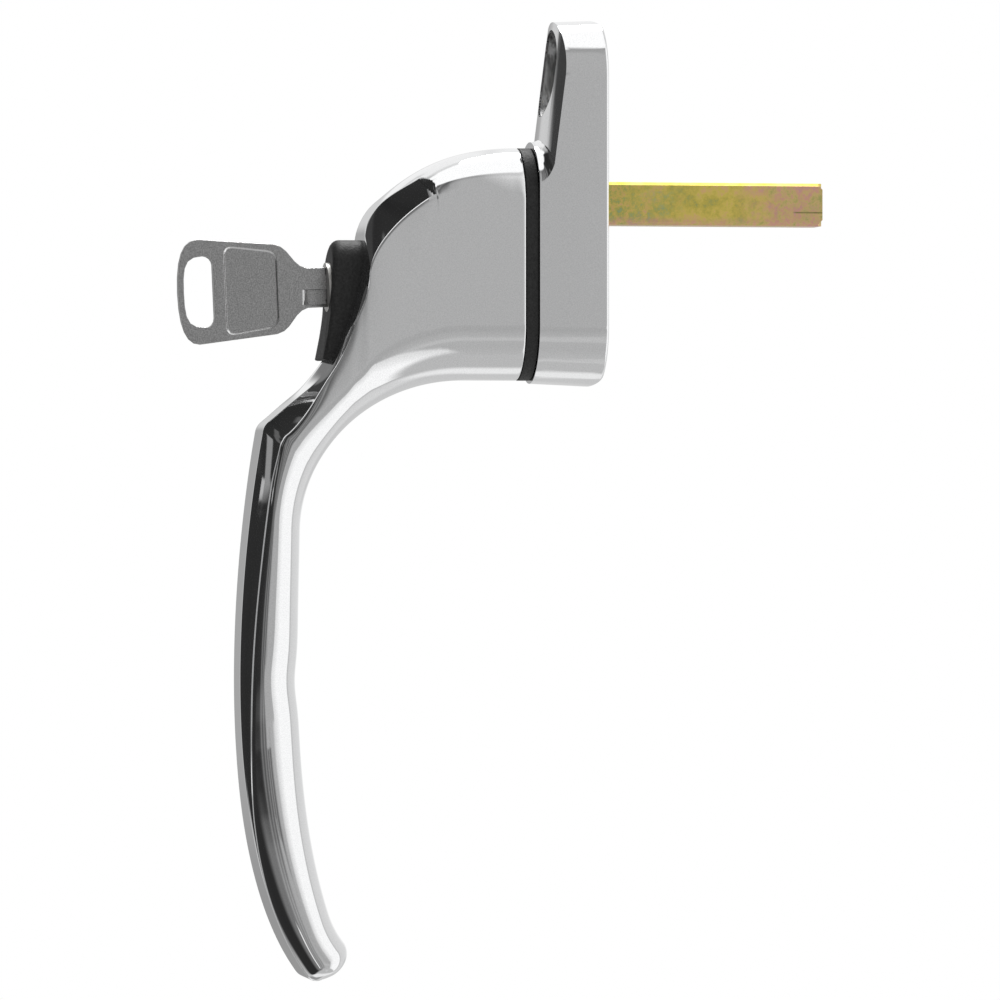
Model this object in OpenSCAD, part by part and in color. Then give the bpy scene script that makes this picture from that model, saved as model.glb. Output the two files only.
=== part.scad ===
// Lockable espagnolette window handle: a cranked lever on an in-line base plate, with its key.
// Origin on the spindle axis at the mounting face. +Y runs along the spindle into the window,
// -Y faces the room, +Z is up. Millimetres.

/* [Base plate] */
// Height of the base plate
base_h = 60; // [58:1:70]
// Width of the base plate at the mounting face
base_w = 20; // [19.6:0.2:24]
// Depth of the base plate from the mounting face to the front of its boss
base_d = 11.4; // [11:0.2:15]
// Draw-in of each side from the mounting face to the front
base_draft = 0.5; // [0.2:0.1:0.8]
// Radius of the boss where it rises round the spindle
boss_r = 10; // [9.4:0.1:10.6]
// Concave fillet between the boss and the screw lobe
boss_fillet = 2.8; // [1.6:0.1:3.2]
// Thickness of the screw lobe's middle at its upper end
lobe_tip_t = 7.6; // [6.6:0.1:8.4]
// Thickness of the screw lobe's middle where it meets the boss
lobe_root_t = 10.1; // [9.4:0.1:10.8]
// Radius of the screw lobe's crowned front
lobe_crown_r = 30; // [24:1:60]
// Distance between the two fixing screws
screw_spacing = 43; // [42:0.5:46]
// Diameter of a fixing screw hole
screw_hole_d = 5; // [4.2:0.1:5.6]
// Diameter of a fixing screw's countersink
screw_head_d = 9.6; // [8.6:0.1:10]
// Depth of metal left under a fixing screw's head
screw_seat_t = 4.5; // [3.8:0.1:5]
// Length of the screw recess in the lobe
pocket_len = 14.2; // [13:0.2:15.2]
// Width of the screw recess in the lobe
pocket_w = 11; // [10.2:0.1:12]
// Depth of the two hollows in the mounting face
hollow_d = 3; // [1:0.5:3.5]
// Rounding of the edge round the mounting face
back_round = 0.5; // [0.3:0.1:2.4]
// Rounding of the base plate's two ends at the mounting face, in side view
end_round = 2.3; // [1:0.1:3]

/* [Pivot] */
// Diameter of the lever's hub
hub_d = 12; // [11.6:0.1:12.6]
// Wall of the pivot bush
bush_wall = 0.95; // [0.7:0.05:1.2]
// Thickness of the bush's flange
flange_t = 0.8; // [0.6:0.1:1]
// Depth of the recess in the mounting face for the hub's retainers
recess_d = 5; // [4.8:0.1:5.6]
// Thickness of the wave washer's strip
wave_t = 0.25; // [0.2:0.01:0.3]
// Height of the wave washer's waves
wave_h = 0.28; // [0.1:0.02:0.3]
// Thickness of the thrust washer
thrust_t = 0.5; // [0.4:0.1:0.6]
// Thickness of the retaining circlip
circlip_t = 1; // [0.8:0.1:1.1]
// Depth of the circlip's groove in the hub
circlip_groove = 0.6; // [0.4:0.05:0.7]
// Width of the square spindle across its flats
spindle_w = 7; // [6.6:0.1:7.2]
// Length of spindle that stands out of the mounting face
spindle_out = 37; // [10:1:60]
// Depth of spindle held inside the lever, behind the root plane
spindle_in = 10; // [6:0.5:12]
// Diameter of the spindle's cross pin
cross_pin_d = 2.5; // [2:0.1:2.8]

/* [Bearing plate] */
// Thickness of the bearing plate between the base and the lever
plate_t = 2; // [1.8:0.1:3]
// Diameter of the bearing plate's screws
plate_screw_d = 2.8; // [2.4:0.1:3]
// Distance between the bearing plate's screws
plate_screw_pitch = 9.6; // [9.2:0.1:10]
// Length of the bearing plate's screws
plate_screw_len = 8; // [6:0.5:9]

/* [Lever] */
// Radius of the lever's root at its top and bottom
neck_r = 9; // [8.8:0.1:9.2]
// Distance between the root's upper and lower round centres
neck_drop = 20; // [19.5:0.1:20.5]
// Reach of the crown in front of the root plane
neck_reach = 26; // [25:0.1:28]
// Fall of the crown from the root's top to its front
crown_fall = 15.2; // [14:0.2:16.4]
// Reach of the shoulder in front of the root plane
shoulder_reach = 42.4; // [41:0.2:44]
// Drop of the shoulder below the spindle axis
shoulder_drop = 36.4; // [35:0.2:38]
// Drop of the lever's tip below the spindle axis
lever_drop = 126; // [110:1:150]
// Reach of the tip's front edge in front of the root plane
tip_reach = 35.3; // [33:0.1:38]
// Thickness of the lever at its tip, front edge to toe
tip_t = 7.6; // [6:0.1:9]
// Rounding of the tip's end
tip_round = 1.4; // [0.6:0.1:2]
// Outward turn of the lever's back at its toe
toe_flare = 1; // [0:0.1:1.6]
// Width of the lever at its shoulder
shoulder_w = 16.6; // [15.6:0.2:17.4]
// Width of the grip at its waist
waist_w = 14; // [12.6:0.2:16]
// Width of the lever at its tip
tip_w = 18; // [16:0.2:20]
// Length of the straight underside from the root plane
under_flat = 9; // [7:0.5:10]
// Reach of the curl under the neck
curl_reach = 27; // [26.2:0.1:28.1]
// Drop of the curl under the neck
curl_drop = 25; // [22:0.5:28]
// Depth of the hollow behind the bearing plate
cavity_d = 8; // [7:0.2:9]
// Radius of the hollow's lower end
cavity_r = 6.4; // [6:0.1:6.8]

/* [Lock] */
// Height of the lock's axis at the face of its nose
lock_z = -13.9; // [-14.3:0.1:-13.5]
// Downward tilt of the lock's axis towards the key
lock_tilt = 2.5; // [1:0.1:3.5]
// Reach of the nose's face in front of the root plane
nose_reach = 31.3; // [31:0.1:33]
// Width of the nose
nose_w = 9.5; // [9.3:0.05:9.6]
// Height of the nose
nose_h = 19.6; // [18:0.2:21]
// Depth that the nose is let into the lever
nose_seat = 1.9; // [1.2:0.1:2.4]
// Outer diameter of the housing's sleeve
sleeve_d = 9.4; // [9.2:0.05:9.5]
// Diameter of the plug's face
plug_face_d = 8; // [7.8:0.1:8.3]
// Diameter of the plug's body
plug_d = 7.2; // [7.1:0.05:7.4]
// Diameter of the plug's tail
tail_d = 6.4; // [6.2:0.05:6.6]
// Number of wafers
wafer_count = 3; // [1:1:3]
// Distance between wafers
wafer_pitch = 3; // [2.4:0.1:3]
// Thickness of a wafer
wafer_t = 0.8; // [0.6:0.05:0.9]
// Rise of the wafers when the key is drawn
wafer_rise = 0.7; // [0.4:0.05:0.75]
// Diameter of the lock pin
pin_d = 4; // [3.6:0.1:4.1]
// Travel of the lock pin over a quarter turn of the key
pin_travel = 4; // [3:0.1:4.4]
// Diameter of the follower stud
stud_d = 1.4; // [1:0.05:1.5]
// Thickness of the nut behind the housing
nut_t = 2.5; // [2:0.1:3]

/* [Key] */
// Thickness of the key
key_t = 2; // [1.6:0.1:2.1]
// Height of the key's blade inside the plug
blade_h = 4.2; // [3.6:0.1:4.3]
// Height of the key's neck at the plug's face
key_neck_h = 6.4; // [5.4:0.1:7]
// Height of the bow at its end
bow_h = 17; // [15:0.2:20]
// Length of the key outside the plug
key_out = 24.6; // [23:0.2:30]
// Width of the hole for a key ring
ring_hole_w = 4.9; // [4.4:0.1:5.2]
// Height of the hole for a key ring
ring_hole_h = 11.6; // [9:0.2:12]

/* [Fits] */
// Running clearance on radius
run_gap = 0.05; // [0.02:0.01:0.08]
// Clearance between parts fixed to each other
seat_gap = 0.02; // [0.01:0.01:0.04]
// Gap between the bearing plate and the base
face_gap = 0.1; // [0.05:0.01:0.2]
// Clearance on radius of the lock pin in the base and the bearing plate
pin_gap = 0.2; // [0.15:0.01:0.3]

/* [Hidden] */
$fn = 64;

// Overshoot of a cut past the face that it opens
cut = 1;

chrome = [0.86, 0.87, 0.88];
black_plastic = [0.12, 0.12, 0.13];
white_plastic = [0.9, 0.89, 0.85];
nickel = [0.72, 0.71, 0.68];
spring_steel = [0.45, 0.45, 0.47];
yellow_zinc = [0.72, 0.62, 0.3];
key_steel = [0.55, 0.55, 0.54];
brass = [0.77, 0.63, 0.33];

// Base plate
base_r = base_w / 2;
base_front_r = base_r - base_draft;
base_end = base_h / 2 - base_r;
screw_z = screw_spacing / 2;
screw_sink = (screw_head_d - screw_hole_d) / 2;
lobe_slope = (lobe_root_t - lobe_tip_t) / (base_h / 2 - boss_r);
lobe_lean = atan(lobe_slope);
hub_r = hub_d / 2;
bush_r = hub_r + run_gap;
bore_r = bush_r + bush_wall + seat_gap;
flange_lap = 1;
flange_r = bore_r + flange_lap;
ring_gap = 0.2;
recess_r = flange_r + ring_gap;
pocket_shift = 0.2;
hollow_w = 9;
hollow_rib = 1.5;

// Retainers on the hub, measured forward from the mounting face
flange_back = recess_d - flange_t;
wave_front = flange_back - run_gap;
wave_back = wave_front - wave_t - wave_h;
thrust_back = wave_back - seat_gap - thrust_t;
groove_front = thrust_back - seat_gap;
groove_back = groove_front - circlip_t - 2 * seat_gap;
hub_tail = 1;
hub_back = groove_back - hub_tail;
circlip_r = hub_r - circlip_groove;
cross_pin_at = (recess_d + base_d) / 2;

// Bearing plate and root of the lever
plate_back = base_d + face_gap;
root_at = plate_back + plate_t;
plate_screw_x = plate_screw_pitch / 2;
plate_screw_below = 1;
plate_screw_z = -neck_drop - plate_screw_below;
plate_screw_r = plate_screw_d / 2;
plate_screw_head_h = 1.2;
plate_screw_head_r = plate_screw_r + plate_screw_head_h;
plate_screw_sink = 0.2;
plate_screw_short = 0.5;
plate_recess_w = 0.5;
plate_recess_span = 2.6;
plate_recess_d = 0.6;
post_wall = 1.6;
post_r = plate_screw_r + post_wall;
hub_post_lap = 0.5;
hub_post_r = hub_r + hub_post_lap;
cavity_top = 4;
lip_h = 1;
lip_t = 1;
lip_gap = 0.1;
socket_w = spindle_w + 2 * run_gap;
spindle_chamfer = 0.5;
spindle_end_chamfer = 1;

// Lever outline in the plane x = 0, as [forward of the root plane, height]
crown_end_z = neck_r - crown_fall;
under_z = -neck_drop - neck_r;
grip_fall = lever_drop - shoulder_drop;
tip_slope = 37;
toe = [tip_reach - tip_t * cos(tip_slope), -lever_drop + tip_t * sin(tip_slope)];
curl_end = [under_flat + curl_reach, under_z - curl_drop];
toe_fall = curl_end[1] - toe[1];
crown_ease = 0.055;
neck_lean = 0.3;
neck_fall = 17.8;
grip_bow = [4.4, 7.9];
grip_bow_at = [0.26, 0.78];
back_bow = [0.4, 1.6];
back_bow_at = [0.34, 0.7];
dip_at = 0.45;
dip_half = 4.5;
dip_d = 0.5;
neck_front = [
    [neck_reach, crown_end_z],
    [neck_reach + neck_lean, crown_end_z - neck_fall],
    [shoulder_reach, -shoulder_drop]
];
grip_front = [
    [shoulder_reach, -shoulder_drop],
    [shoulder_reach + grip_bow[0], -shoulder_drop - grip_bow_at[0] * grip_fall],
    [shoulder_reach + grip_bow[1], -shoulder_drop - grip_bow_at[1] * grip_fall],
    [tip_reach, -lever_drop]
];
grip_back = [
    curl_end,
    [curl_end[0] + back_bow[0], curl_end[1] - back_bow_at[0] * toe_fall],
    [curl_end[0] + back_bow[1], curl_end[1] - back_bow_at[1] * toe_fall],
    toe
];

// Stations along the lever: 0 root, 1 front of the crown, 2 shoulder, 3 tip
crown_rings = 18;
neck_rings = 14;
grip_rings = 30;
tip_rings = 3;
cap_steps = 6;
side_steps = 4;
back_steps = 5;
curl_a = 35;
curl_b = 66;
flat_share = 0.28;
curl_share = 0.16;
toe_share = 0.08;
nose_rim = 0.25;
front_flat = nose_w / 2 + nose_rim;
shoulder_half = shoulder_w / 2;
waist_half = waist_w / 2;
tip_half = tip_w / 2;
upper_half = [for (k = [0.15, 0.46, 0.77]) shoulder_half + k * (waist_half - shoulder_half)];
lower_half = [for (k = [0.45, 0.7]) waist_half + k * (tip_half - waist_half)];
// Columns: station, half width, half width of the front flat, bevel depth, back rounding, bevel share,
// fall of the side from its widest to the bevel
lever_sections = [
    [0, neck_r, front_flat, neck_r, neck_r, 0, 0],
    [0.3, neck_r, front_flat, 6.2, 9, 0, 0],
    [0.42, neck_r, front_flat, 5.7, 9, 0, 0],
    [0.5, neck_r, front_flat, 4.7, 8.9, 1, 0],
    [0.75, 8.9, front_flat, 5, 8.6, 1, 0],
    [1.1, 8.8, front_flat, 4.6, 8, 1, 0],
    [1.2, 8.75, front_flat, 4, 7.8, 1, 0],
    [1.3, 8.7, front_flat, 2.7, 7.6, 1, 0.1],
    [1.5, 8.65, front_flat, 1.6, 7.2, 1, 0.2],
    [1.65, 8.6, front_flat, 1.8, 6.8, 1, 0.3],
    [1.8, 8.5, front_flat, 2.7, 6.4, 1, 0.5],
    [2, shoulder_half, shoulder_half - 3.9, 3.4, 6, 1, 0.7],
    [2.1, upper_half[0], upper_half[0] - 4, 2.5, 5.8, 1, 1],
    [2.25, upper_half[1], upper_half[1] - 4, 2.3, 5.5, 1, 1.2],
    [2.42, upper_half[2], upper_half[2] - 3.8, 1.7, 5.5, 1, 1.6],
    [2.57, waist_half, waist_half - 3.5, 1.2, 5.5, 1, 1.8],
    [2.68, lower_half[0], lower_half[0] - 3.6, 0.5, 5.5, 1, 2.8],
    [2.8, lower_half[1], lower_half[1] - 3.8, 0.25, 5.3, 1, 3.5],
    [3, tip_half, tip_half - 3.8, 0.15, 4.5, 1, 3.6]
];
section_blend = 0.05;

// Lock, along its own axis: 0 at the face of the nose, negative into the lever
sleeve_r = sleeve_d / 2;
plug_r = plug_d / 2;
plug_face_r = plug_face_d / 2;
tail_r = tail_d / 2;
pin_r = pin_d / 2;
stud_r = stud_d / 2;
plug_proud = 0.3;
plug_head = 3;
wafer_first = 5;
wafer_span = (wafer_count - 1) * wafer_pitch;
plug_back = 6;
keyway_gap = 0.1;
keyway_end_gap = 0.2;
keyway_w = key_t + 2 * keyway_gap;
keyway_h = blade_h + 2 * keyway_end_gap;
body_end = -(wafer_first + wafer_span + plug_back);
nut_sink = 0.5;
nut_at = -(nose_reach - cavity_d) + nut_sink;
nut_wall = 0.8;
nut_r = sleeve_r + nut_wall;
nut_gap = 0.3;
nut_slot_w = 1.4;
sleeve_over = 1.5;
sleeve_end = nut_at - nut_t - sleeve_over;
sleeve_lap = 0.5;
tail_over = 1.5;
tail_end = sleeve_end - tail_over;
clip_t = 0.6;
clip_groove = 0.5;
clip_inset = 0.2;
pin_top_gap = 1.5;
pin_top = body_end - pin_top_gap;
pin_top_room = 1;
pin_chamfer = 0.5;
pin_inset = 0.3;
pin_end = -(nose_reach + plate_t - pin_inset);
stud_back = 3.5;
stud_at = body_end - stud_back;
stud_in = 1.2;
stud_short = 0.3;
stud_out = sleeve_r - stud_short;
stud_gap = 0.1;
pin_bite_room = 1;
pin_bite = pin_travel + pin_bite_room;
cam_rate = 90 / pin_travel;
cam_half_angle = 32;
cam_gap = 0.25;
cam_over = stud_r + cam_gap;
guide_gap = 0.2;
guide_over = stud_r + guide_gap;
spring_r = 0.32;
spring_wire_r = 0.09;
spring_out_r = spring_r + spring_wire_r;
spring_wall = 0.2;
spring_turns = 5;
spring_low = -1.85;
spring_x = sqrt(plug_r * plug_r - spring_low * spring_low) - spring_out_r - spring_wall;
lug_low = 0.75;
lug_h = 0.8;
lug_top = lug_low + lug_h + wafer_rise;
lug_x = sqrt(pow(plug_r - seat_gap, 2) - lug_top * lug_top);
lug_root = 0.2;
spring_gap = 0.07;
spring_room = lug_low + wafer_rise - spring_low + 2 * run_gap;
wafer_w = 2 * (spring_x - spring_out_r - spring_gap);
wafer_half_h = sqrt(pow(plug_r - 2 * seat_gap, 2) - wafer_w * wafer_w / 4);
wafer_slack = 0.3;
wafer_window_gap = 0.15;
nose_round = 2;
nose_foot_rise = 0.6;
nose_bend_share = 0.42;
nose_bend_pull = 2.5;

// Key, along the lock's axis
key_stop_gap = 0.1;
key_face = plug_proud + key_stop_gap;
blade_short = 3;
blade_end = body_end + blade_short;
blade_point = 1.6;
blade_room = 0.4;
neck_len = 3.4;
flare_at = 6;
flare_ease = 0.5;
bow_at = 8.2;
bow_front_h = 14.6;
bow_end_len = 3.4;
bow_corner_at = key_out - bow_end_len;
ring_web = 0.9;
ring_hole_at = key_out - ring_web - ring_hole_w;
ring_hole_end = ring_hole_at + ring_hole_w;
ring_corner_r = 1.5;
key_groove_end = 4.4;
key_groove_d = 0.6;
key_groove_low = 0.5;
key_groove_over = 0.4;
key_groove_h = blade_h / 2 + key_groove_over;
panel_d = 0.2;
panel_rim = 1.1;
panel_gap = 1.8;
panel_at = bow_at + 0.1;
panel_corner = 1.6;

// Moves a child drawn in the front view (x right, y up, z forward) to its distance from the mounting face
module to_front(forward) {
    translate([0, -forward, 0])
        rotate([90, 0, 0])
            children();
}

// Moves a child drawn in side view (x forward of the root plane, y up, z across) to the lever
module to_side() {
    translate([0, -root_at, 0])
        rotate([0, 0, -90])
            rotate([90, 0, 0])
                children();
}

// Moves a child drawn along the lock's axis (x right, y up, z towards the key) to the lock
module to_lock() {
    translate([0, -root_at - nose_reach, lock_z])
        rotate([90 + lock_tilt, 0, 0])
            children();
}

function bezier2(p, t) = (1 - t) * (1 - t) * p[0] + 2 * t * (1 - t) * p[1] + t * t * p[2];

function bezier3(p, t) =
    pow(1 - t, 3) * p[0] + 3 * t * pow(1 - t, 2) * p[1] + 3 * t * t * (1 - t) * p[2] + pow(t, 3) * p[3];

function arc(centre, r, from, to, steps) =
    [for (i = [0:steps]) let (a = from + (to - from) * i / steps) centre + r * [cos(a), sin(a)]];

// Bar of square section with cut corners, standing on the origin
module spindle_profile(width) {
    half = width / 2;
    flat = half - spindle_chamfer;
    polygon([
        [flat, -half], [half, -flat], [half, flat], [flat, half],
        [-flat, half], [-half, flat], [-half, -flat], [-flat, -half]
    ]);
}

// Upright outline with round ends, drawn down from its upper centre
module drop_outline(r, drop) {
    circle(r);
    translate([0, -drop])
        circle(r);
    translate([-r, -drop])
        square([2 * r, drop]);
}

// Base plate

// Half of the base plate's section: rounded at the mounting face, its side drawn in towards the front
module base_section() {
    inner_r = base_r - back_round;
    polygon([
        [0, 0], [inner_r, 0], [inner_r, back_round],
        [base_r, back_round], [base_front_r, base_d], [0, base_d]
    ]);
    intersection() {
        translate([inner_r, back_round])
            circle(back_round);
        square([base_r, back_round]);
    }
}

// Side view of the base plate: both ends rounded at the mounting face
module base_side_view() {
    for (end = [-1, 1])
        translate([end * (base_h / 2 - end_round), end_round])
            circle(end_round);
    translate([end_round - base_h / 2, 0])
        square([base_h - 2 * end_round, base_d]);
    translate([-base_h / 2, end_round])
        square([base_h, base_d - end_round]);
}

// Stadium of that section
module drafted_stadium() {
    for (end = [-base_end, base_end])
        translate([0, end, 0])
            rotate_extrude()
                base_section();
    translate([0, base_end, 0])
        rotate([90, 0, 0])
            linear_extrude(2 * base_end)
                for (side = [0, 1])
                    mirror([side, 0])
                        base_section();
}

// Space that the boss and the thinner, sloping screw lobe fill
module boss_and_lobe() {
    cylinder(r = boss_r, h = base_d);
    translate([-base_r - cut, -base_h / 2 - cut, 0])
        cube([base_w + 2 * cut, base_h / 2 + cut, base_d]);
    translate([0, 0, lobe_root_t + boss_r * lobe_slope])
        rotate([-90 - lobe_lean, 0, 0])
            translate([0, lobe_crown_r, -cut])
                cylinder(r = lobe_crown_r, h = base_h, $fn = 4 * $fn);
    rotate_extrude()
        difference() {
            translate([boss_r - cut, base_d - boss_fillet])
                square([boss_fillet + cut, boss_fillet]);
            translate([boss_r + boss_fillet, base_d])
                circle(boss_fillet);
        }
}

// Through hole and countersink of one fixing screw, from the mounting face
module screw_hole() {
    translate([0, 0, -cut])
        cylinder(d = screw_hole_d, h = base_d + 2 * cut);
    translate([0, 0, screw_seat_t - screw_sink])
        cylinder(d1 = screw_hole_d, d2 = screw_head_d, h = screw_sink);
}

module base_plate() {
    hollow_end = screw_z - screw_hole_d / 2;
    hollow_len = hollow_end - recess_r - 2 * hollow_rib;
    color(chrome)
        difference() {
            to_front(0)
                difference() {
                    intersection() {
                        drafted_stadium();
                        boss_and_lobe();
                        rotate([90, 0, 90])
                            linear_extrude(base_w + 2 * cut, center = true)
                                base_side_view();
                    }
                    for (side = [-1, 1])
                        translate([0, side * screw_z, 0])
                            screw_hole();
                    translate([0, screw_z + (pocket_len - pocket_w) / 2 - pocket_shift, screw_seat_t])
                        linear_extrude(base_d)
                            drop_outline(pocket_w / 2, pocket_len - pocket_w);
                    translate([0, -screw_z, screw_seat_t])
                        cylinder(d = screw_head_d, h = base_d);
                    translate([0, 0, -cut])
                        cylinder(r = bore_r, h = base_d + 2 * cut);
                    translate([0, 0, -cut])
                        cylinder(r = recess_r, h = recess_d + cut);
                    for (side = [-1, 1])
                        translate([0, side * (recess_r + hollow_end) / 2, hollow_d / 2 - cut])
                            cube([hollow_w, hollow_len, hollow_d + 2 * cut], center = true);
                }
            to_lock()
                translate([0, 0, pin_end - pin_inset - face_gap - pin_bite])
                    cylinder(r = pin_r + pin_gap, h = pin_bite + cut);
        }
}

module pivot_bush() {
    color(white_plastic)
        to_front(0)
            rotate_extrude()
                polygon([
                    [bush_r, flange_back],
                    [flange_r, flange_back],
                    [flange_r, recess_d - seat_gap],
                    [bush_r + bush_wall, recess_d - seat_gap],
                    [bush_r + bush_wall, base_d - face_gap],
                    [bush_r, base_d - face_gap]
                ]);
}

// Retainers on the hub

// Ring of strip that rises and falls three times in a turn
module wave_washer() {
    steps = 48;
    inner_r = hub_r + ring_gap;
    outer_r = flange_r - ring_gap;
    rim = [[inner_r, 0], [outer_r, 0], [outer_r, wave_t], [inner_r, wave_t]];
    points = [
        for (i = [0:steps - 1])
            let (a = 360 * i / steps, lift = wave_h * (1 - cos(3 * a)) / 2)
                for (p = rim)
                    [p[0] * cos(a), p[0] * sin(a), p[1] + lift]
    ];
    faces = [
        for (i = [0:steps - 1], j = [0:3])
            [4 * i + j, 4 * i + (j + 1) % 4, 4 * ((i + 1) % steps) + (j + 1) % 4, 4 * ((i + 1) % steps) + j]
    ];
    color(spring_steel)
        to_front(wave_back)
            polyhedron(points, faces);
}

module thrust_washer() {
    color(spring_steel)
        to_front(thrust_back)
            linear_extrude(thrust_t)
                difference() {
                    circle(flange_r - ring_gap);
                    circle(hub_r + run_gap);
                }
}

module retaining_circlip() {
    ear_r = 1.2;
    ear_at = flange_r - ring_gap - ear_r;
    ring_w = 1;
    mouth = 26;
    ear_turn = mouth + 7;
    color(spring_steel)
        to_front(groove_back + seat_gap)
            linear_extrude(circlip_t)
                difference() {
                    union() {
                        difference() {
                            circle(hub_r + ring_w);
                            polygon([
                                [0, 0],
                                2 * hub_d * [-sin(mouth), -cos(mouth)],
                                2 * hub_d * [sin(mouth), -cos(mouth)]
                            ]);
                        }
                        for (side = [-1, 1])
                            rotate(side * ear_turn)
                                translate([0, -ear_at])
                                    circle(ear_r);
                    }
                    circle(circlip_r + seat_gap);
                    for (side = [-1, 1])
                        rotate(side * ear_turn)
                            translate([0, -ear_at])
                                circle(ear_r / 2);
                }
}

// Lever

function lever_front(s) =
    s < 1 ? [
        neck_reach * sin(90 * s) * (1 - crown_ease * pow(sin(180 * s), 2)),
        neck_r - crown_fall * (1 - cos(90 * s))
    ]
    : s < 2 ? bezier2(neck_front, s - 1)
    : bezier3(grip_front, s - 2);

function curl(a) = [under_flat + curl_reach * sin(a), under_z - curl_drop * (1 - cos(a))];

function lever_back(s) =
    s < flat_share ? [under_flat * s / flat_share, under_z]
    : s < 1 ? curl(curl_a * (s - flat_share) / (1 - flat_share))
    : s < 2 ? curl(curl_a + (curl_b - curl_a) * (s - 1))
    : s < 2 + curl_share ? curl(curl_b + (90 - curl_b) * (s - 2) / curl_share)
    : bezier3(grip_back, (s - 2 - curl_share) / (1 - curl_share)) + toe_turn(s) + back_dip(s);

// Outward turn of the back over the last stretch before the toe
function toe_turn(s) =
    toe_flare * pow(max(0, (s - 3 + toe_share) / toe_share), 2) * [-cos(tip_slope), sin(tip_slope)];

// Shallow dip of the back behind the waist
function back_dip(s) =
    let (away = (s - 2 - dip_at) * grip_fall / dip_half)
        [dip_d * exp(-away * away), 0];

// One column of the section table at a station, with its corners eased
function section_value(s, column) =
    let (table = [for (row = lever_sections) [row[0], row[column]]])
        (lookup(s - section_blend, table) + 2 * lookup(s, table) + lookup(s + section_blend, table)) / 4;

// Half of a section as [across, back from the front]: arc or bevelled flat in front, side, ellipse behind
function half_section(w, flat, bevel, back, share, fall, depth) = concat(
    [
        for (j = [0:cap_steps])
            let (
                a = 90 * j / cap_steps,
                f = 3 * j / cap_steps,
                edge = w - fall - flat,
                strip = f < 1 ? [f * flat, 0] : [flat + edge * (f - 1) / 2, bevel * (f - 1) / 2]
            )
                (1 - share) * [w * sin(a), bevel * (1 - cos(a))] + share * strip
    ],
    [
        for (j = [1:side_steps - 1])
            let (u = j / side_steps)
                [w - fall * pow(1 - u, 2), bevel + (depth - back - bevel) * u]
    ],
    [for (j = [0:back_steps]) let (a = 90 * j / back_steps) [w * cos(a), depth - back * (1 - sin(a))]]
);

function mirrored(half) =
    concat(half, [for (i = [len(half) - 2:-1:1]) [-half[i][0], half[i][1]]]);

// Ring of points round the lever; inset and ahead draw in the rounded end of the tip
function lever_ring(s, inset, ahead) =
    let (
        front = lever_front(s),
        back = lever_back(s),
        depth = norm(back - front),
        along = (back - front) / depth,
        onward = [-along[1], along[0]],
        start = front + inset * along + ahead * onward,
        half = half_section(
            section_value(s, 1) - inset,
            section_value(s, 2) - inset,
            section_value(s, 3),
            section_value(s, 4) - inset,
            section_value(s, 5),
            section_value(s, 6),
            depth - 2 * inset
        )
    )
        [for (p = mirrored(half)) let (q = start + p[1] * along) [q[0], q[1], p[0]]];

lever_rings = concat(
    [for (i = [0:crown_rings - 1]) lever_ring(i / crown_rings, 0, 0)],
    [for (i = [0:neck_rings - 1]) lever_ring(1 + i / neck_rings, 0, 0)],
    [for (i = [0:grip_rings]) lever_ring(2 + i / grip_rings, 0, 0)],
    [
        for (i = [1:tip_rings])
            let (a = 80 * i / tip_rings)
                lever_ring(3, tip_round * (1 - cos(a)), tip_round * sin(a))
    ]
);

// Point inside a ring, halfway between its first point and the one across from it
function middle(ring) = (ring[0] + ring[floor(len(ring) / 2)]) / 2;

// Solid through a list of rings, each with the same number of points and closed by a fan at either end
module loft(rings) {
    count = len(rings[0]);
    last = len(rings) - 1;
    first_middle = count * len(rings);
    last_middle = first_middle + 1;
    polyhedron(
        concat([for (ring = rings) each ring], [middle(rings[0]), middle(rings[last])]),
        concat(
            [for (j = [0:count - 1]) [first_middle, j, (j + 1) % count]],
            [
                for (i = [0:last - 1], j = [0:count - 1])
                    [
                        count * i + j,
                        count * (i + 1) + j,
                        count * (i + 1) + (j + 1) % count,
                        count * i + (j + 1) % count
                    ]
            ],
            [for (j = [0:count - 1]) [last_middle, count * last + (j + 1) % count, count * last + j]]
        )
    );
}

// Front view of the hollow behind the bearing plate, drawn in on every side by inset
module cavity_outline(inset) {
    difference() {
        intersection() {
            drop_outline(cavity_r - inset, neck_drop);
            translate([-neck_r, -2 * neck_drop])
                square([2 * neck_r, 2 * neck_drop - cavity_top]);
        }
        circle(hub_post_r + inset);
        for (side = [-1, 1])
            translate([side * plate_screw_x, plate_screw_z])
                circle(post_r + inset);
    }
}

// Front view of the lock's nose
module nose_outline(gap) {
    translate([0, crown_end_z - nose_w / 2])
        circle(nose_w / 2 + gap);
    translate([-nose_w / 2 - gap, crown_end_z - nose_h - gap])
        square([nose_w + 2 * gap, nose_h - nose_w / 2 + gap]);
}

nose_bottom_z = crown_end_z - nose_h;

// Lines, in side view, of the nose's seat in the lever and of its face, both square to the lock
function seat_line(z) = neck_reach - nose_seat + (crown_end_z - z) * tan(lock_tilt);
function nose_face(z) = nose_reach + (lock_z - z) * tan(lock_tilt);
seat_at = (seat_line(lock_z) - nose_reach) * cos(lock_tilt);

// Reach of the neck's front at a height between the crown and the shoulder
function neck_front_at(z) =
    let (
        bend = neck_front[0][1] - 2 * neck_front[1][1] + neck_front[2][1],
        fall = neck_front[0][1] - neck_front[1][1],
        gone = neck_front[0][1] - z
    )
        bezier2(neck_front, gone / (fall + sqrt(fall * fall - bend * gone)))[0];

// Space let in to the lever's front for the nose
module nose_pocket() {
    top = crown_end_z + nose_round;
    bottom = nose_bottom_z - nose_round;
    intersection() {
        to_front(root_at)
            linear_extrude(2 * nose_reach)
                nose_outline(seat_gap);
        to_side()
            linear_extrude(2 * nose_w, center = true)
                polygon([
                    [seat_line(top), top],
                    [2 * nose_reach, top],
                    [2 * nose_reach, bottom],
                    [seat_line(bottom), bottom]
                ]);
    }
}

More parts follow.
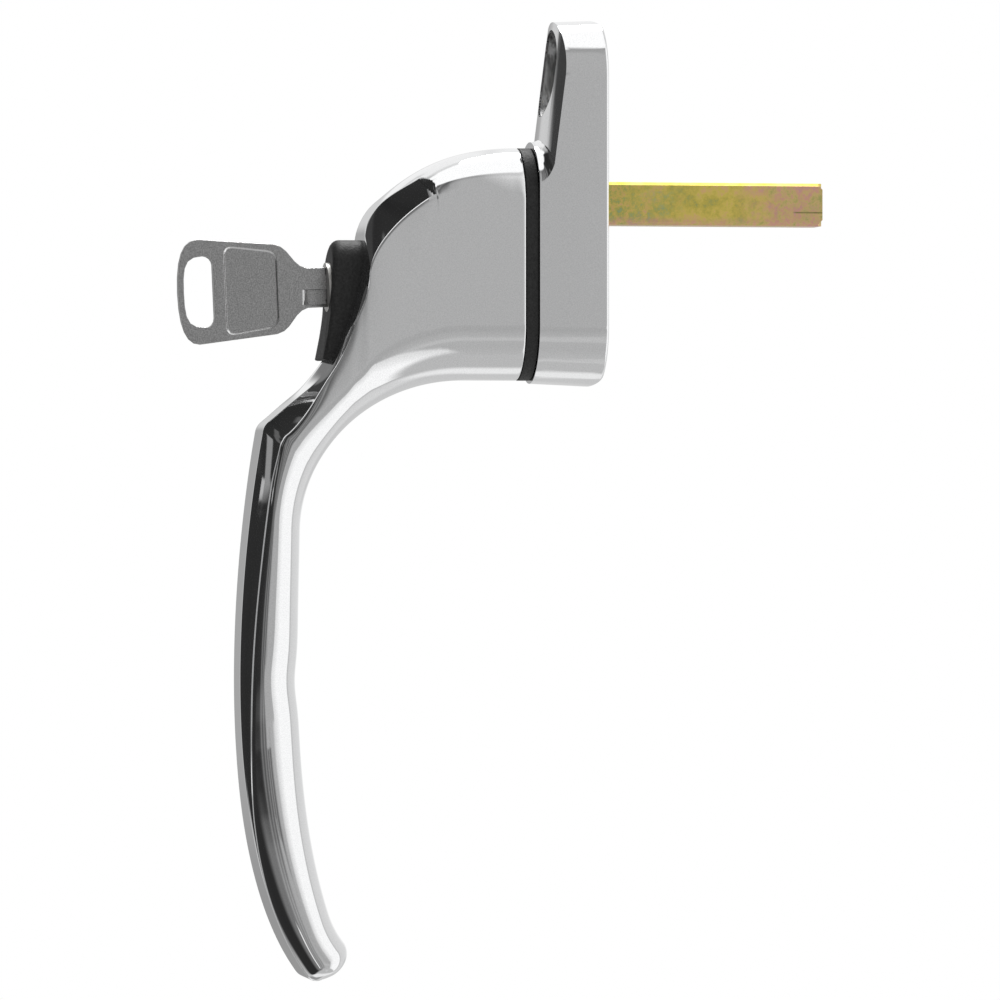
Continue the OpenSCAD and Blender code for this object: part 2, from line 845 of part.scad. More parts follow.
module lever() {
    color(chrome)
        difference() {
            union() {
                difference() {
                    to_side()
                        loft(lever_rings);
                    to_front(root_at - cut)
                        linear_extrude(cavity_d + cut)
                            cavity_outline(0);
                }
                to_front(hub_back)
                    cylinder(r = hub_r, h = root_at - hub_back + cut);
            }
            to_front(hub_back - cut)
                linear_extrude(root_at + spindle_in - hub_back + cut + seat_gap)
                    spindle_profile(socket_w);
            to_front(groove_back)
                linear_extrude(groove_front - groove_back)
                    difference() {
                        circle(hub_d);
                        circle(circlip_r);
                    }
            to_front(cross_pin_at)
                rotate([0, 90, 0])
                    cylinder(d = cross_pin_d + 2 * seat_gap, h = 2 * hub_d, center = true);
            for (side = [-1, 1])
                to_front(root_at - cut)
                    translate([side * plate_screw_x, plate_screw_z, 0])
                        cylinder(r = plate_screw_r + seat_gap, h = plate_screw_len + cut);
            nose_pocket();
            to_lock()
                translate([0, 0, sleeve_end - cut])
                    cylinder(r = sleeve_r + run_gap, h = seat_at - sleeve_end + 2 * cut);
            to_lock()
                translate([0, 0, pin_end])
                    cylinder(r = nut_r + nut_gap, h = nut_at - pin_end);
        }
}

// Bearing plate

module bearing_plate() {
    color(black_plastic)
        difference() {
            to_front(plate_back)
                difference() {
                    union() {
                        linear_extrude(plate_t - seat_gap)
                            drop_outline(neck_r, neck_drop);
                        linear_extrude(plate_t + lip_h)
                            difference() {
                                cavity_outline(lip_gap);
                                cavity_outline(lip_gap + lip_t);
                            }
                    }
                    translate([0, 0, -cut])
                        cylinder(r = hub_r + run_gap, h = plate_t + 2 * cut);
                    for (side = [-1, 1])
                        translate([side * plate_screw_x, plate_screw_z, -cut]) {
                            cylinder(r = plate_screw_r + seat_gap, h = plate_t + 2 * cut);
                            cylinder(r = plate_screw_head_r + seat_gap, h = cut + plate_screw_sink);
                            translate([0, 0, cut + plate_screw_sink])
                                cylinder(
                                    r1 = plate_screw_head_r + seat_gap,
                                    r2 = plate_screw_r + seat_gap,
                                    h = plate_screw_head_h
                                );
                        }
                }
            to_lock()
                translate([0, 0, pin_end - plate_t])
                    cylinder(r = pin_r + pin_gap, h = 3 * plate_t);
        }
}

module bearing_plate_screws() {
    color(spring_steel)
        for (side = [-1, 1])
            to_front(plate_back + plate_screw_sink)
                translate([side * plate_screw_x, plate_screw_z, 0])
                    difference() {
                        union() {
                            cylinder(
                                r1 = plate_screw_head_r,
                                r2 = plate_screw_r,
                                h = plate_screw_head_h
                            );
                            cylinder(r = plate_screw_r, h = plate_screw_len - plate_screw_short);
                        }
                        for (turn = [0, 90])
                            rotate(turn)
                                cube([plate_recess_span, plate_recess_w, 2 * plate_recess_d], center = true);
                    }
}

// Spindle

module spindle() {
    back = root_at + spindle_in;
    length = back + spindle_out;
    half = spindle_w / 2;
    color(yellow_zinc)
        difference() {
            to_front(-spindle_out)
                intersection() {
                    linear_extrude(length)
                        spindle_profile(spindle_w);
                    for (turn = [0, 90])
                        rotate(turn)
                            translate([0, spindle_w, 0])
                                rotate([90, 0, 0])
                                    linear_extrude(2 * spindle_w)
                                        polygon([
                                            [-half + spindle_end_chamfer, 0],
                                            [half - spindle_end_chamfer, 0],
                                            [half, spindle_end_chamfer],
                                            [half, length],
                                            [-half, length],
                                            [-half, spindle_end_chamfer]
                                        ]);
                }
            to_front(cross_pin_at)
                rotate([0, 90, 0])
                    cylinder(d = cross_pin_d + 2 * seat_gap, h = 2 * hub_d, center = true);
        }
}

// Rolled spring pin with its slit
module spindle_pin() {
    length = hub_d - 2 * ring_gap;
    wall = cross_pin_d / 5;
    color(spring_steel)
        to_front(cross_pin_at)
            rotate([0, 90, 0])
                linear_extrude(length, center = true)
                    difference() {
                        circle(d = cross_pin_d);
                        circle(d = cross_pin_d - 2 * wall);
                        translate([0, -wall / 2])
                            square([cross_pin_d, wall]);
                    }
}

// Lock

// Side view of the nose: rounded top corner, face square to the lock, foot curving out to the lever
function nose_profile() =
    let (
        bend_z = nose_bottom_z + nose_bend_share * nose_h,
        pull_z = bend_z - nose_bend_pull,
        foot = [neck_front_at(nose_bottom_z) + nose_foot_rise, nose_bottom_z],
        top_face = nose_face(crown_end_z - nose_round)
    )
        concat(
            [[seat_line(nose_bottom_z) + seat_gap, nose_bottom_z]],
            [
                for (i = [0:5])
                    bezier2([foot, [nose_face(pull_z), pull_z], [nose_face(bend_z), bend_z]], i / 5)
            ],
            arc([top_face - nose_round, crown_end_z - nose_round], nose_round, 0, 90, 5),
            [[seat_line(crown_end_z) + seat_gap, crown_end_z]]
        );

module lock_housing() {
    window_front = wafer_first - wafer_t;
    window_len = wafer_span + 2 * wafer_t;
    window_w = wafer_w + 2 * wafer_window_gap;
    color(black_plastic)
        difference() {
            union() {
                intersection() {
                    to_front(root_at)
                        linear_extrude(2 * nose_reach)
                            nose_outline(0);
                    to_side()
                        linear_extrude(2 * nose_w, center = true)
                            polygon(nose_profile());
                }
                to_lock()
                    translate([0, 0, sleeve_end])
                        cylinder(r = sleeve_r, h = seat_at - sleeve_end + sleeve_lap);
            }
            to_lock() {
                translate([0, 0, sleeve_end - cut])
                    cylinder(r = tail_r + run_gap, h = -sleeve_end);
                translate([0, 0, body_end - run_gap])
                    cylinder(r = plug_r + run_gap, h = -body_end);
                translate([0, 0, -plug_head - run_gap])
                    cylinder(r = plug_face_r + run_gap, h = 2 * plug_head);
                translate([0, 0, -window_front - window_len]) {
                    translate([-window_w / 2, 0, 0])
                        cube([window_w, sleeve_r + run_gap, window_len]);
                    translate([0, -window_w / 2, 0])
                        cube([sleeve_r + run_gap, window_w, window_len]);
                }
                translate([-stud_r - stud_gap, -sleeve_d, stud_at - pin_travel - guide_over])
                    cube([stud_d + 2 * stud_gap, sleeve_d, pin_travel + 2 * guide_over]);
            }
        }
}

// Round nut with two spanner slots
module housing_nut() {
    color(brass)
        to_lock()
            translate([0, 0, nut_at - nut_t - seat_gap])
                difference() {
                    cylinder(r = nut_r, h = nut_t);
                    translate([0, 0, -cut])
                        cylinder(r = sleeve_r + seat_gap, h = nut_t + 2 * cut);
                    cube([2 * nut_r + cut, nut_slot_w, nut_t], center = true);
                }
}

// Places a child at each wafer, with z along the lock
module each_wafer() {
    for (i = [0:wafer_count - 1])
        translate([0, 0, -wafer_first - i * wafer_pitch])
            children();
}

// Helical groove that drives the follower: the stud moves inwards as the key turns
module cam_slot() {
    over_turn = cam_rate * cam_over;
    reach = 2 * tail_r;
    translate([0, 0, stud_at - pin_travel - cam_over])
        rotate(over_turn)
            linear_extrude(pin_travel + 2 * cam_over, twist = 90 + 2 * over_turn, slices = 24)
                polygon(concat([[0, 0]], arc([0, 0], reach, -cam_half_angle, cam_half_angle, 4)));
}

module lock_plug() {
    color(nickel)
        to_lock()
            difference() {
                union() {
                    translate([0, 0, -plug_head])
                        cylinder(r = plug_face_r, h = plug_head + plug_proud);
                    translate([0, 0, body_end])
                        cylinder(r = plug_r, h = -body_end - plug_head + cut);
                    translate([0, 0, tail_end])
                        cylinder(r = tail_r, h = body_end - tail_end + cut);
                }
                translate([0, 0, tail_end - cut])
                    cylinder(r = pin_r + run_gap, h = pin_top - tail_end + cut + pin_top_room);
                translate([-keyway_w / 2, -keyway_h / 2, blade_end - blade_room])
                    cube([keyway_w, keyway_h, -blade_end + plug_head]);
                each_wafer() {
                    translate([-wafer_w / 2 - run_gap, -wafer_half_h - run_gap, -wafer_t / 2 - run_gap])
                        cube([wafer_w + 2 * run_gap, 2 * plug_d, wafer_t + 2 * run_gap]);
                    translate([0, lug_low - run_gap, -wafer_t / 2 - run_gap])
                        cube([lug_x + run_gap, lug_top - lug_low + 3 * run_gap, wafer_t + 2 * run_gap]);
                    translate([spring_x, spring_low - run_gap, 0])
                        rotate([-90, 0, 0])
                            cylinder(r = spring_out_r + run_gap, h = spring_room);
                }
                cam_slot();
                translate([0, 0, sleeve_end - clip_t - 3 * seat_gap])
                    linear_extrude(clip_t + 2 * seat_gap)
                        difference() {
                            circle(tail_d);
                            circle(tail_r - clip_groove);
                        }
            }
}

// Open retaining ring on the plug's tail
module plug_clip() {
    inner_r = tail_r - clip_groove + seat_gap;
    color(spring_steel)
        to_lock()
            translate([0, 0, sleeve_end - clip_t - 2 * seat_gap])
                linear_extrude(clip_t)
                    difference() {
                        circle(sleeve_r - clip_inset);
                        circle(inner_r);
                        translate([-inner_r * 0.8, 0])
                            square([inner_r * 1.6, sleeve_d]);
                    }
}

// Plates with a window for the key's blade and a lug for the spring
module wafers() {
    window_h = blade_h + 2 * wafer_slack;
    color(brass)
        to_lock()
            each_wafer()
                translate([0, 0, -wafer_t / 2])
                    linear_extrude(wafer_t) {
                        difference() {
                            translate([-wafer_w / 2, -wafer_half_h])
                                square([wafer_w, 2 * wafer_half_h]);
                            translate([-keyway_w / 2, -window_h / 2])
                                square([keyway_w, window_h]);
                        }
                        translate([wafer_w / 2 - lug_root, lug_low])
                            square([lug_x - wafer_w / 2 + lug_root, lug_h]);
                    }
}

// Ring of wire round a point of a coil that rises along y
function coil_ring(a, rise) = [
    for (i = [0:5])
        let (b = 60 * i, r = spring_r + spring_wire_r * cos(b))
            [r * cos(a), spring_wire_r * sin(b) + rise * a / 360, r * sin(a)]
];

module wafer_springs() {
    low = spring_low + spring_wire_r;
    rise = (lug_low - spring_low - 2 * spring_wire_r - seat_gap) / spring_turns;
    turn_steps = 10;
    color(spring_steel)
        to_lock()
            each_wafer()
                translate([spring_x, low, 0])
                    loft([for (i = [0:spring_turns * turn_steps]) coil_ring(360 * i / turn_steps, rise)]);
}

module lock_pin() {
    color(spring_steel)
        to_lock()
            difference() {
                union() {
                    translate([0, 0, pin_end + pin_chamfer])
                        cylinder(r = pin_r, h = pin_top - pin_end - pin_chamfer);
                    translate([0, 0, pin_end])
                        cylinder(r1 = pin_r - pin_chamfer, r2 = pin_r, h = pin_chamfer);
                }
                translate([0, -stud_in + seat_gap, stud_at])
                    rotate([90, 0, 0])
                        cylinder(r = stud_r + seat_gap, h = pin_d);
            }
}

module follower_stud() {
    color(nickel)
        to_lock()
            translate([0, -stud_in, stud_at])
                rotate([90, 0, 0])
                    cylinder(r = stud_r, h = stud_out - stud_in);
}

// Key

// Upper half of the bow, from the neck along the flare, the edge and the rounded end
function bow_edge() = concat(
    [[key_face, key_neck_h / 2]],
    [
        for (i = [0:6])
            bezier3([
                [neck_len, key_neck_h / 2],
                [flare_at, key_neck_h / 2 + flare_ease],
                [flare_at, bow_front_h / 2 - flare_ease],
                [bow_at + flare_ease, bow_front_h / 2]
            ], i / 6)
    ],
    [
        for (i = [0:6])
            bezier3([
                [bow_corner_at, bow_h / 2],
                [key_out - bow_end_len / 3, bow_h / 2],
                [key_out, bow_h / 3],
                [key_out, 0]
            ], i / 6)
    ]
);

// Upper half of the ring hole: straight towards the blade, bowed towards the end
function ring_hole_edge() = concat(
    arc([ring_hole_at + ring_corner_r, ring_hole_h / 2 - ring_corner_r], ring_corner_r, 180, 90, 4),
    [
        for (i = [1:5])
            bezier3([
                [ring_hole_at + ring_corner_r, ring_hole_h / 2],
                [ring_hole_end - ring_web / 3, ring_hole_h / 2],
                [ring_hole_end, ring_hole_h / 2.7],
                [ring_hole_end, 0]
            ], i / 5)
    ]
);

function both_halves(edge) =
    concat(edge, [for (i = [len(edge) - 1:-1:0]) if (edge[i][1] > 0.01) [edge[i][0], -edge[i][1]]]);

// Outline with each corner of a list of points rounded over a length either side of it
function rounded(points, length) = [
    for (i = [0:len(points) - 1])
        let (
            p = points[i],
            before = points[(i + len(points) - 1) % len(points)] - p,
            after = points[(i + 1) % len(points)] - p
        )
            for (j = [0:4])
                bezier2([p + length * before / norm(before), p, p + length * after / norm(after)], j / 4)
];

// Turns a shape drawn as [along the lock, up] into a plate across the lock
module key_plate(thickness) {
    rotate([0, -90, 0])
        linear_extrude(thickness, center = true)
            children();
}

module key() {
    panel_x = [panel_at, ring_hole_at - panel_gap];
    panel_half = [bow_front_h / 2 - panel_rim, bow_h / 2 - panel_rim];
    color(key_steel)
        to_lock()
            difference() {
                union() {
                    key_plate(key_t)
                        difference() {
                            polygon(both_halves(bow_edge()));
                            polygon(both_halves(ring_hole_edge()));
                        }
                    key_plate(key_t)
                        polygon([
                            [key_face + cut, -blade_h / 2],
                            [key_face + cut, blade_h / 2],
                            [blade_end + blade_point, blade_h / 2],
                            [blade_end, blade_h / 5],
                            [blade_end, -blade_h / 5],
                            [blade_end + blade_point, -blade_h / 2]
                        ]);
                }
                translate([key_t / 2, -blade_h / 4 - key_groove_low, 0])
                    cube([2 * key_groove_d, key_groove_h, 2 * key_groove_end], center = true);
                for (side = [-1, 1])
                    translate([side * key_t / 2, 0, 0])
                        key_plate(2 * panel_d)
                            polygon(rounded([
                                [panel_x[0], -panel_half[0]],
                                [panel_x[1], -panel_half[1]],
                                [panel_x[1], panel_half[1]],
                                [panel_x[0], panel_half[0]]
                            ], panel_corner));
            }
}

base_plate();
pivot_bush();
lever();
bearing_plate();
bearing_plate_screws();
spindle();
spindle_pin();
wave_washer();
thrust_washer();
retaining_circlip();
lock_housing();
housing_nut();
lock_plug();
plug_clip();
wafers();
wafer_springs();
lock_pin();
follower_stud();
key();
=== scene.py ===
"""Looks of a lockable espagnolette window handle.

Polished castings, black nylon, a satin key and a passivated spindle.
"""
import math

import bmesh
import bpy
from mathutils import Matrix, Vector


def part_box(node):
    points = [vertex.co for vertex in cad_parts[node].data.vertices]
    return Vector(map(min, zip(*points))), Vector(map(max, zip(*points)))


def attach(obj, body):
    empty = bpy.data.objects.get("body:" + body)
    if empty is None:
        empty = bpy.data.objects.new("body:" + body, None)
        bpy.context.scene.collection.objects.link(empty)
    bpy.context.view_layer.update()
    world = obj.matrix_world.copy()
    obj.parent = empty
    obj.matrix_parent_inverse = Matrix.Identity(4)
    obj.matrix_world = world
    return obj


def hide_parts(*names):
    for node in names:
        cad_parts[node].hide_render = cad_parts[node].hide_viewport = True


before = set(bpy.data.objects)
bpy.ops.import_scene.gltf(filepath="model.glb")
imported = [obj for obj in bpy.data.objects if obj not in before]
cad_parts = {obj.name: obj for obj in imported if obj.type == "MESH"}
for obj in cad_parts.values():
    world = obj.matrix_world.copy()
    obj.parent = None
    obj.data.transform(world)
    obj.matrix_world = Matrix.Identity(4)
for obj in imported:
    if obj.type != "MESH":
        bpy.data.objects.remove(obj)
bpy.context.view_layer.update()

MM = 0.001

# Sizes of the lever in millimetres: forward of the root plane, height, width
PLATE_T = 2.1
NECK_R = 9
UNDER_Z = -29
NECK_REACH = 26
CROWN_FALL = 15.2
CROWN_EASE = 0.055
CROWN_END_Z = NECK_R - CROWN_FALL
SHOULDER = Vector((42.4, -36.4))
TIP = Vector((35.3, -126))
TIP_T = 7.6
TIP_SLOPE = math.radians(37)
TIP_ROUND = 2.6
TIP_AT = 2.9904
TOE_FLARE = 1
TOE_SHARE = 0.08
DIP_AT = 2.45
DIP_HALF = 4.5
DIP_D = 0.5
UNDER_FLAT = 9
CURL_REACH = 27
CURL_DROP = 25
CURL_ANGLES = (0, 35, 66, 90)
FLAT_SHARE = 0.28
CURL_SHARE = 0.16
NOSE_W = 9.5
NOSE_RIM = 0.25
HUB_R = 6
HUB_BACK = 1.04
HUB_GROOVE = (2.04, 3.08)
HUB_GROOVE_R = 5.4
HUB_EASE = 0.4
HUB_SINK = 1

# Edges of the lever: easings, bow of the bevel, bright line beside it
STRIP_ROUND = 0.18
ROOT_ROUND = 0.35
BEVEL_BOW = 0.1
LINE_IN = 0.07
LINE_BACK = 0.15
LINE_RISE = (0.42, 0.48)
LINE_LEAST = 0.4
SHOULDER_EASE = (1.972, 2.0155)
# Stations where the bevels start, at the strip and at the side, and where the strip turns flat
BEVEL_START = (0.489, 0.414)
BEVEL_RUN = 0.012
SIDE_RUN = 0.3
STRIP_FLAT = (0.489, 0.8)
# Softer edge of the strip above the lock: extra easing, station, run
ABOVE_LOCK_ROUND = 0.8
ABOVE_LOCK_AT = 0.9
ABOVE_LOCK_RUN = 0.08
# Faint ridge along the strip below the lock: slope of its sides, rounding, stations of its rise and end
RIDGE_SLOPE = 0.24
RIDGE_ROUND = 0.2
RIDGE_RISE = (1.4, 1.6)
RIDGE_END = (1.9, 1.6)
# Rounding of the neck's top before the bevels: station, depth
TOP_ROUNDING = ((0, 9), (0.3, 6.2), (0.4, 5.7), (3, 5.7))
# Runs of rings along the lever: first station, last station, rings
RING_RUNS = (
    (0.02, 0.4, 40), (0.4, 0.52, 60), (0.52, 1, 40), (1, 1.96, 44), (1.96, 2.04, 24), (2.04, TIP_AT, 120),
)


def quadratic(points, t):
    a, b, c = points
    return a * (1 - t) ** 2 + b * (2 * t * (1 - t)) + c * t ** 2


def cubic(points, t):
    a, b, c, d = points
    return a * (1 - t) ** 3 + b * (3 * t * (1 - t) ** 2) + c * (3 * t ** 2 * (1 - t)) + d * t ** 3


NECK_FRONT = (
    Vector((NECK_REACH, CROWN_END_Z)),
    Vector((NECK_REACH + 0.3, CROWN_END_Z - 17.8)),
    SHOULDER,
)
GRIP_FALL = SHOULDER.y - TIP.y
GRIP_FRONT = (
    SHOULDER,
    SHOULDER + Vector((4.4, -0.26 * GRIP_FALL)),
    SHOULDER + Vector((7.9, -0.78 * GRIP_FALL)),
    TIP,
)
CURL_END = Vector((UNDER_FLAT + CURL_REACH, UNDER_Z - CURL_DROP))
END_WAY = Vector((-math.cos(TIP_SLOPE), math.sin(TIP_SLOPE)))
TOE = TIP + END_WAY * TIP_T
TOE_FALL = CURL_END.y - TOE.y
GRIP_BACK = (
    CURL_END,
    CURL_END + Vector((0.4, -0.34 * TOE_FALL)),
    CURL_END + Vector((1.6, -0.7 * TOE_FALL)),
    TOE,
)

# Columns: station, half width, half width of the front strip, bevel depth, back rounding,
# fall of the side from its widest to the bevel
STRIP_HALF = NOSE_W / 2 + NOSE_RIM
SECTIONS = (
    (0, 9, STRIP_HALF, 5.7, 9, 0.1),
    (0.42, 9, STRIP_HALF, 4.6, 9, 0.1),
    (0.5, 9, STRIP_HALF, 4.7, 8.9, 0.1),
    (0.75, 8.9, STRIP_HALF, 5, 8.6, 0.1),
    (1, 8.8, STRIP_HALF, 5.2, 8.2, 0.1),
    (1.1, 8.8, 6, 5, 8, 0.1),
    (1.2, 8.75, 6, 3.6, 7.8, 0.1),
    (1.3, 8.7, 6, 2.2, 7.6, 0.1),
    (1.4, 8.7, 6, 2.4, 7.4, 0.2),
    (1.5, 8.65, 6, 2.4, 7.2, 0.2),
    (1.65, 8.6, 5.6, 2, 6.8, 0.3),
    (1.8, 8.5, STRIP_HALF, 2.7, 6.4, 0.5),
    (2, 8.3, 4.4, 3.4, 6, 0.7),
    (2.1, 8.1, 4.1, 2.5, 5.8, 1),
    (2.25, 7.7, 3.7, 2.3, 5.5, 1.2),
    (2.42, 7.3, 3.5, 1.7, 5.5, 1.6),
    (2.57, 7, 3.5, 1.2, 5.5, 1.8),
    (2.68, 7.9, 4.3, 0.35, 5.5, 2.8),
    (2.8, 8.4, 4.6, 0.06, 5.3, 3.5),
    (3, 9, 5.2, 0.05, 4.5, 3.6),
)


def front_curve(s):
    if s < 1:
        a = math.pi / 2 * s
        reach = NECK_REACH * math.sin(a) * (1 - CROWN_EASE * math.sin(2 * a) ** 2)
        return Vector((reach, NECK_R - CROWN_FALL * (1 - math.cos(a))))
    if s < 2:
        return quadratic(NECK_FRONT, s - 1)
    return cubic(GRIP_FRONT, s - 2)


def lever_front(s):
    low, high = SHOULDER_EASE
    if low < s < high:
        return quadratic((front_curve(low), SHOULDER, front_curve(high)), (s - low) / (high - low))
    return front_curve(s)


def curl(degrees):
    a = math.radians(degrees)
    return Vector((UNDER_FLAT + CURL_REACH * math.sin(a), UNDER_Z - CURL_DROP * (1 - math.cos(a))))


def lever_back(s):
    start, low, mid, end = CURL_ANGLES
    if s < FLAT_SHARE:
        return Vector((UNDER_FLAT * s / FLAT_SHARE, UNDER_Z))
    if s < 1:
        return curl(low * (s - FLAT_SHARE) / (1 - FLAT_SHARE))
    if s < 2:
        return curl(low + (mid - low) * (s - 1))
    if s < 2 + CURL_SHARE:
        return curl(mid + (end - mid) * (s - 2) / CURL_SHARE)
    flare = max(0, (s - 3 + TOE_SHARE) / TOE_SHARE) ** 2
    dip = math.exp(-((s - DIP_AT) * GRIP_FALL / DIP_HALF) ** 2)
    return (
        cubic(GRIP_BACK, (s - 2 - CURL_SHARE) / (1 - CURL_SHARE))
        + END_WAY * (TOE_FLARE * flare) + Vector((DIP_D * dip, 0))
    )


def table_value(table, s, column):
    s = min(max(s, 0), 3)
    for low, high in zip(table, table[1:]):
        if s <= high[0]:
            t = (s - low[0]) / (high[0] - low[0])
            return low[column] + (high[column] - low[column]) * t
    return table[-1][column]


def eased_value(table, s, column):
    low, mid, high = (table_value(table, s + step, column) for step in (-0.05, 0, 0.05))
    return (low + 2 * mid + high) / 4


def soft(t):
    t = min(max(t, 0), 1)
    return t * t * (3 - 2 * t)


def passed(s, stations):
    """Soft rise from 0 at the first station to 1 at the second."""
    start, end = stations
    return soft((s - start) / (end - start))


def half_section(s, inset, depth):
    """Half of a section as points (across, back from the front): strip, bevel, bright line, side and back."""
    w, strip, bevel, back, fall = (eased_value(SECTIONS, s, column) for column in range(1, 6))
    w, strip, back = w - inset, strip - inset, back - inset
    rounding = eased_value(TOP_ROUNDING, s, 1)
    widest = max(depth - back, bevel + 8 * LINE_BACK)
    flat = passed(s, STRIP_FLAT)
    ridge = RIDGE_SLOPE * passed(s, RIDGE_RISE) * passed(s, RIDGE_END)
    easing = STRIP_ROUND + ABOVE_LOCK_ROUND * math.exp(-((s - ABOVE_LOCK_AT) / ABOVE_LOCK_RUN) ** 2)

    def round_depth(x):
        return rounding * (1 - math.sqrt(max(0, 1 - (x / w) ** 2)))

    def strip_point(x):
        drop = ridge * (math.hypot(x, RIDGE_ROUND) - RIDGE_ROUND)
        return Vector((x, round_depth(x) * (1 - flat) + drop))

    def side_point(d):
        return Vector((w - fall * (1 - (d - bevel) / (widest - bevel)) ** 2, d))

    edge, corner = strip_point(strip), Vector((w - fall, bevel))
    slant = (corner - edge).normalized()
    outward = Vector((slant.y, -slant.x))
    bend = (strip_point(strip - easing), edge, edge + slant * easing)
    cut = [strip_point((strip - easing) * i / 5) for i in range(5)]
    cut += [quadratic(bend, i / 4) for i in range(5)]
    bow = min(BEVEL_BOW, 0.08 * bevel)
    for i in range(1, 9):
        cut.append(bend[2].lerp(corner, i / 8) + outward * (4 * bow * i / 8 * (1 - i / 8)))
    points = []
    for p in cut:
        across = min(max((p.x - strip) / (corner.x - strip), 0), 1)
        start = BEVEL_START[0] + (BEVEL_START[1] - BEVEL_START[0]) * across
        share = soft((s - start) / BEVEL_RUN)
        points.append(Vector((p.x, round_depth(p.x) * (1 - share) + p.y * share)))
    share = soft((s - BEVEL_START[1]) / BEVEL_RUN)
    line = LINE_IN * passed(s, LINE_RISE) * min(1, max(0, bevel - LINE_LEAST))
    cut = [Vector((corner.x - line, bevel + LINE_BACK))]
    cut += [side_point(bevel + LINE_BACK * step) for step in (3.5, 5, 7)]
    first = math.asin(corner.x / w)
    turns = [first + (math.pi / 2 - first) * i / 4 for i in range(1, 5)]
    cap = [Vector((w * math.sin(a), rounding * (1 - math.cos(a)))) for a in turns]
    for i in range(1, 8):
        cut.append(side_point(cut[3].y + (widest - cut[3].y) * i / 8))
        cap.append(Vector((w, rounding + (widest - rounding) * i / 8)))
    slow = soft((s - BEVEL_START[1]) / SIDE_RUN)
    shares = [share] + [share * (1 - i / 4) + slow * i / 4 for i in range(1, 4)] + [slow] * 7
    points += [round_point.lerp(cut_point, k) for round_point, cut_point, k in zip(cap, cut, shares)]
    bends = [math.pi / 2 * i / 20 for i in range(21)]
    return points + [Vector((w * math.cos(a), widest + (depth - widest) * math.sin(a))) for a in bends]


def lever_ring(s, inset, ahead, root_y):
    """Points round the lever at a station; inset and ahead draw in its rounded ends."""
    front, back = lever_front(s), lever_back(s)
    depth = (back - front).length
    along = (back - front) / depth
    onward = Vector((-along.y, along.x))
    start = front + along * inset + onward * ahead
    half = half_section(s, inset, depth - 2 * inset)
    outline = half + [Vector((-p.x, p.y)) for p in reversed(half[1:-1])]
    ring = []
    for p in outline:
        q = start + along * p.y
        ring.append(Vector((p.x * MM, root_y - q.x * MM, q.y * MM)))
    return ring


def ring_loop(bm, points):
    verts = [bm.verts.new(p) for p in points]
    return [bm.edges.new((a, b)) for a, b in zip(verts, verts[1:] + verts[:1])]


def loft(bm, rings):
    """Skin through closed rings, with a cap at either end."""
    loops = [ring_loop(bm, ring) for ring in rings]
    for low, high in zip(loops, loops[1:]):
        bmesh.ops.bridge_loops(bm, edges=low + high)
    bmesh.ops.contextual_create(bm, geom=loops[0])
    bmesh.ops.contextual_create(bm, geom=loops[-1])


def finished(name, bm, body, material, sharp_degrees=35):
    """Turn a bmesh into a piece that rides on a body."""
    bmesh.ops.recalc_face_normals(bm, faces=bm.faces)
    mesh = bpy.data.meshes.new(name)
    bm.to_mesh(mesh)
    bm.free()
    mesh.shade_smooth()
    mesh.set_sharp_from_angle(angle=math.radians(sharp_degrees))
    piece = bpy.data.objects.new(name, mesh)
    bpy.context.scene.collection.objects.link(piece)
    mesh.materials.append(material)
    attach(piece, body)
    return piece


def lathe(bm, profile, turns=64):
    """Spin a profile of (radius, forward) points about the spindle's axis."""
    verts = [bm.verts.new((r * MM, -forward * MM, 0)) for r, forward in profile]
    edges = [bm.edges.new(pair) for pair in zip(verts, verts[1:])]
    bmesh.ops.spin(
        bm, geom=verts + edges, cent=(0, 0, 0), axis=(0, 1, 0), angle=2 * math.pi, steps=turns, use_merge=True
    )


def root_plane():
    """Place along Y of the lever's root, at the front of the bearing plate."""
    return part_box("base_plate")[0].y - PLATE_T * MM


def lever_casting(material):
    root_y = root_plane()
    rings = []
    for i in range(7):
        a = math.radians(90 - 15 * i)
        rings.append(lever_ring(0, ROOT_ROUND * (1 - math.cos(a)), ROOT_ROUND * (1 - math.sin(a)), root_y))
    for first, last, count in RING_RUNS:
        rings += [lever_ring(first + (last - first) * i / count, 0, 0, root_y) for i in range(count)]
    for i in range(13):
        a = math.radians(84 * i / 12)
        rings.append(lever_ring(TIP_AT, TIP_ROUND * (1 - math.cos(a)), TIP_ROUND * math.sin(a), root_y))
    bm = bmesh.new()
    loft(bm, rings)
    groove_back, groove_front = HUB_GROOVE
    hub_end = -root_y / MM + HUB_SINK
    lathe(bm, (
        (0, HUB_BACK), (HUB_R - HUB_EASE, HUB_BACK), (HUB_R, HUB_BACK + HUB_EASE), (HUB_R, groove_back),
        (HUB_GROOVE_R, groove_back), (HUB_GROOVE_R, groove_front), (HUB_R, groove_front),
        (HUB_R, hub_end), (0, hub_end),
    ))
    bmesh.ops.remove_doubles(bm, verts=bm.verts, dist=1e-7)
    piece = finished("lever_casting", bm, "lever", material, 40)
    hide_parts("lever")


def copied(node):
    """Copy of a CAD piece with its flat faces whole."""
    bm = bmesh.new()
    bm.from_mesh(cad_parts[node].data)
    bmesh.ops.remove_doubles(bm, verts=bm.verts, dist=1e-6)
    bmesh.ops.dissolve_limit(
        bm, angle_limit=math.radians(1), verts=bm.verts, edges=bm.edges, use_dissolve_boundaries=False
    )
    return bm


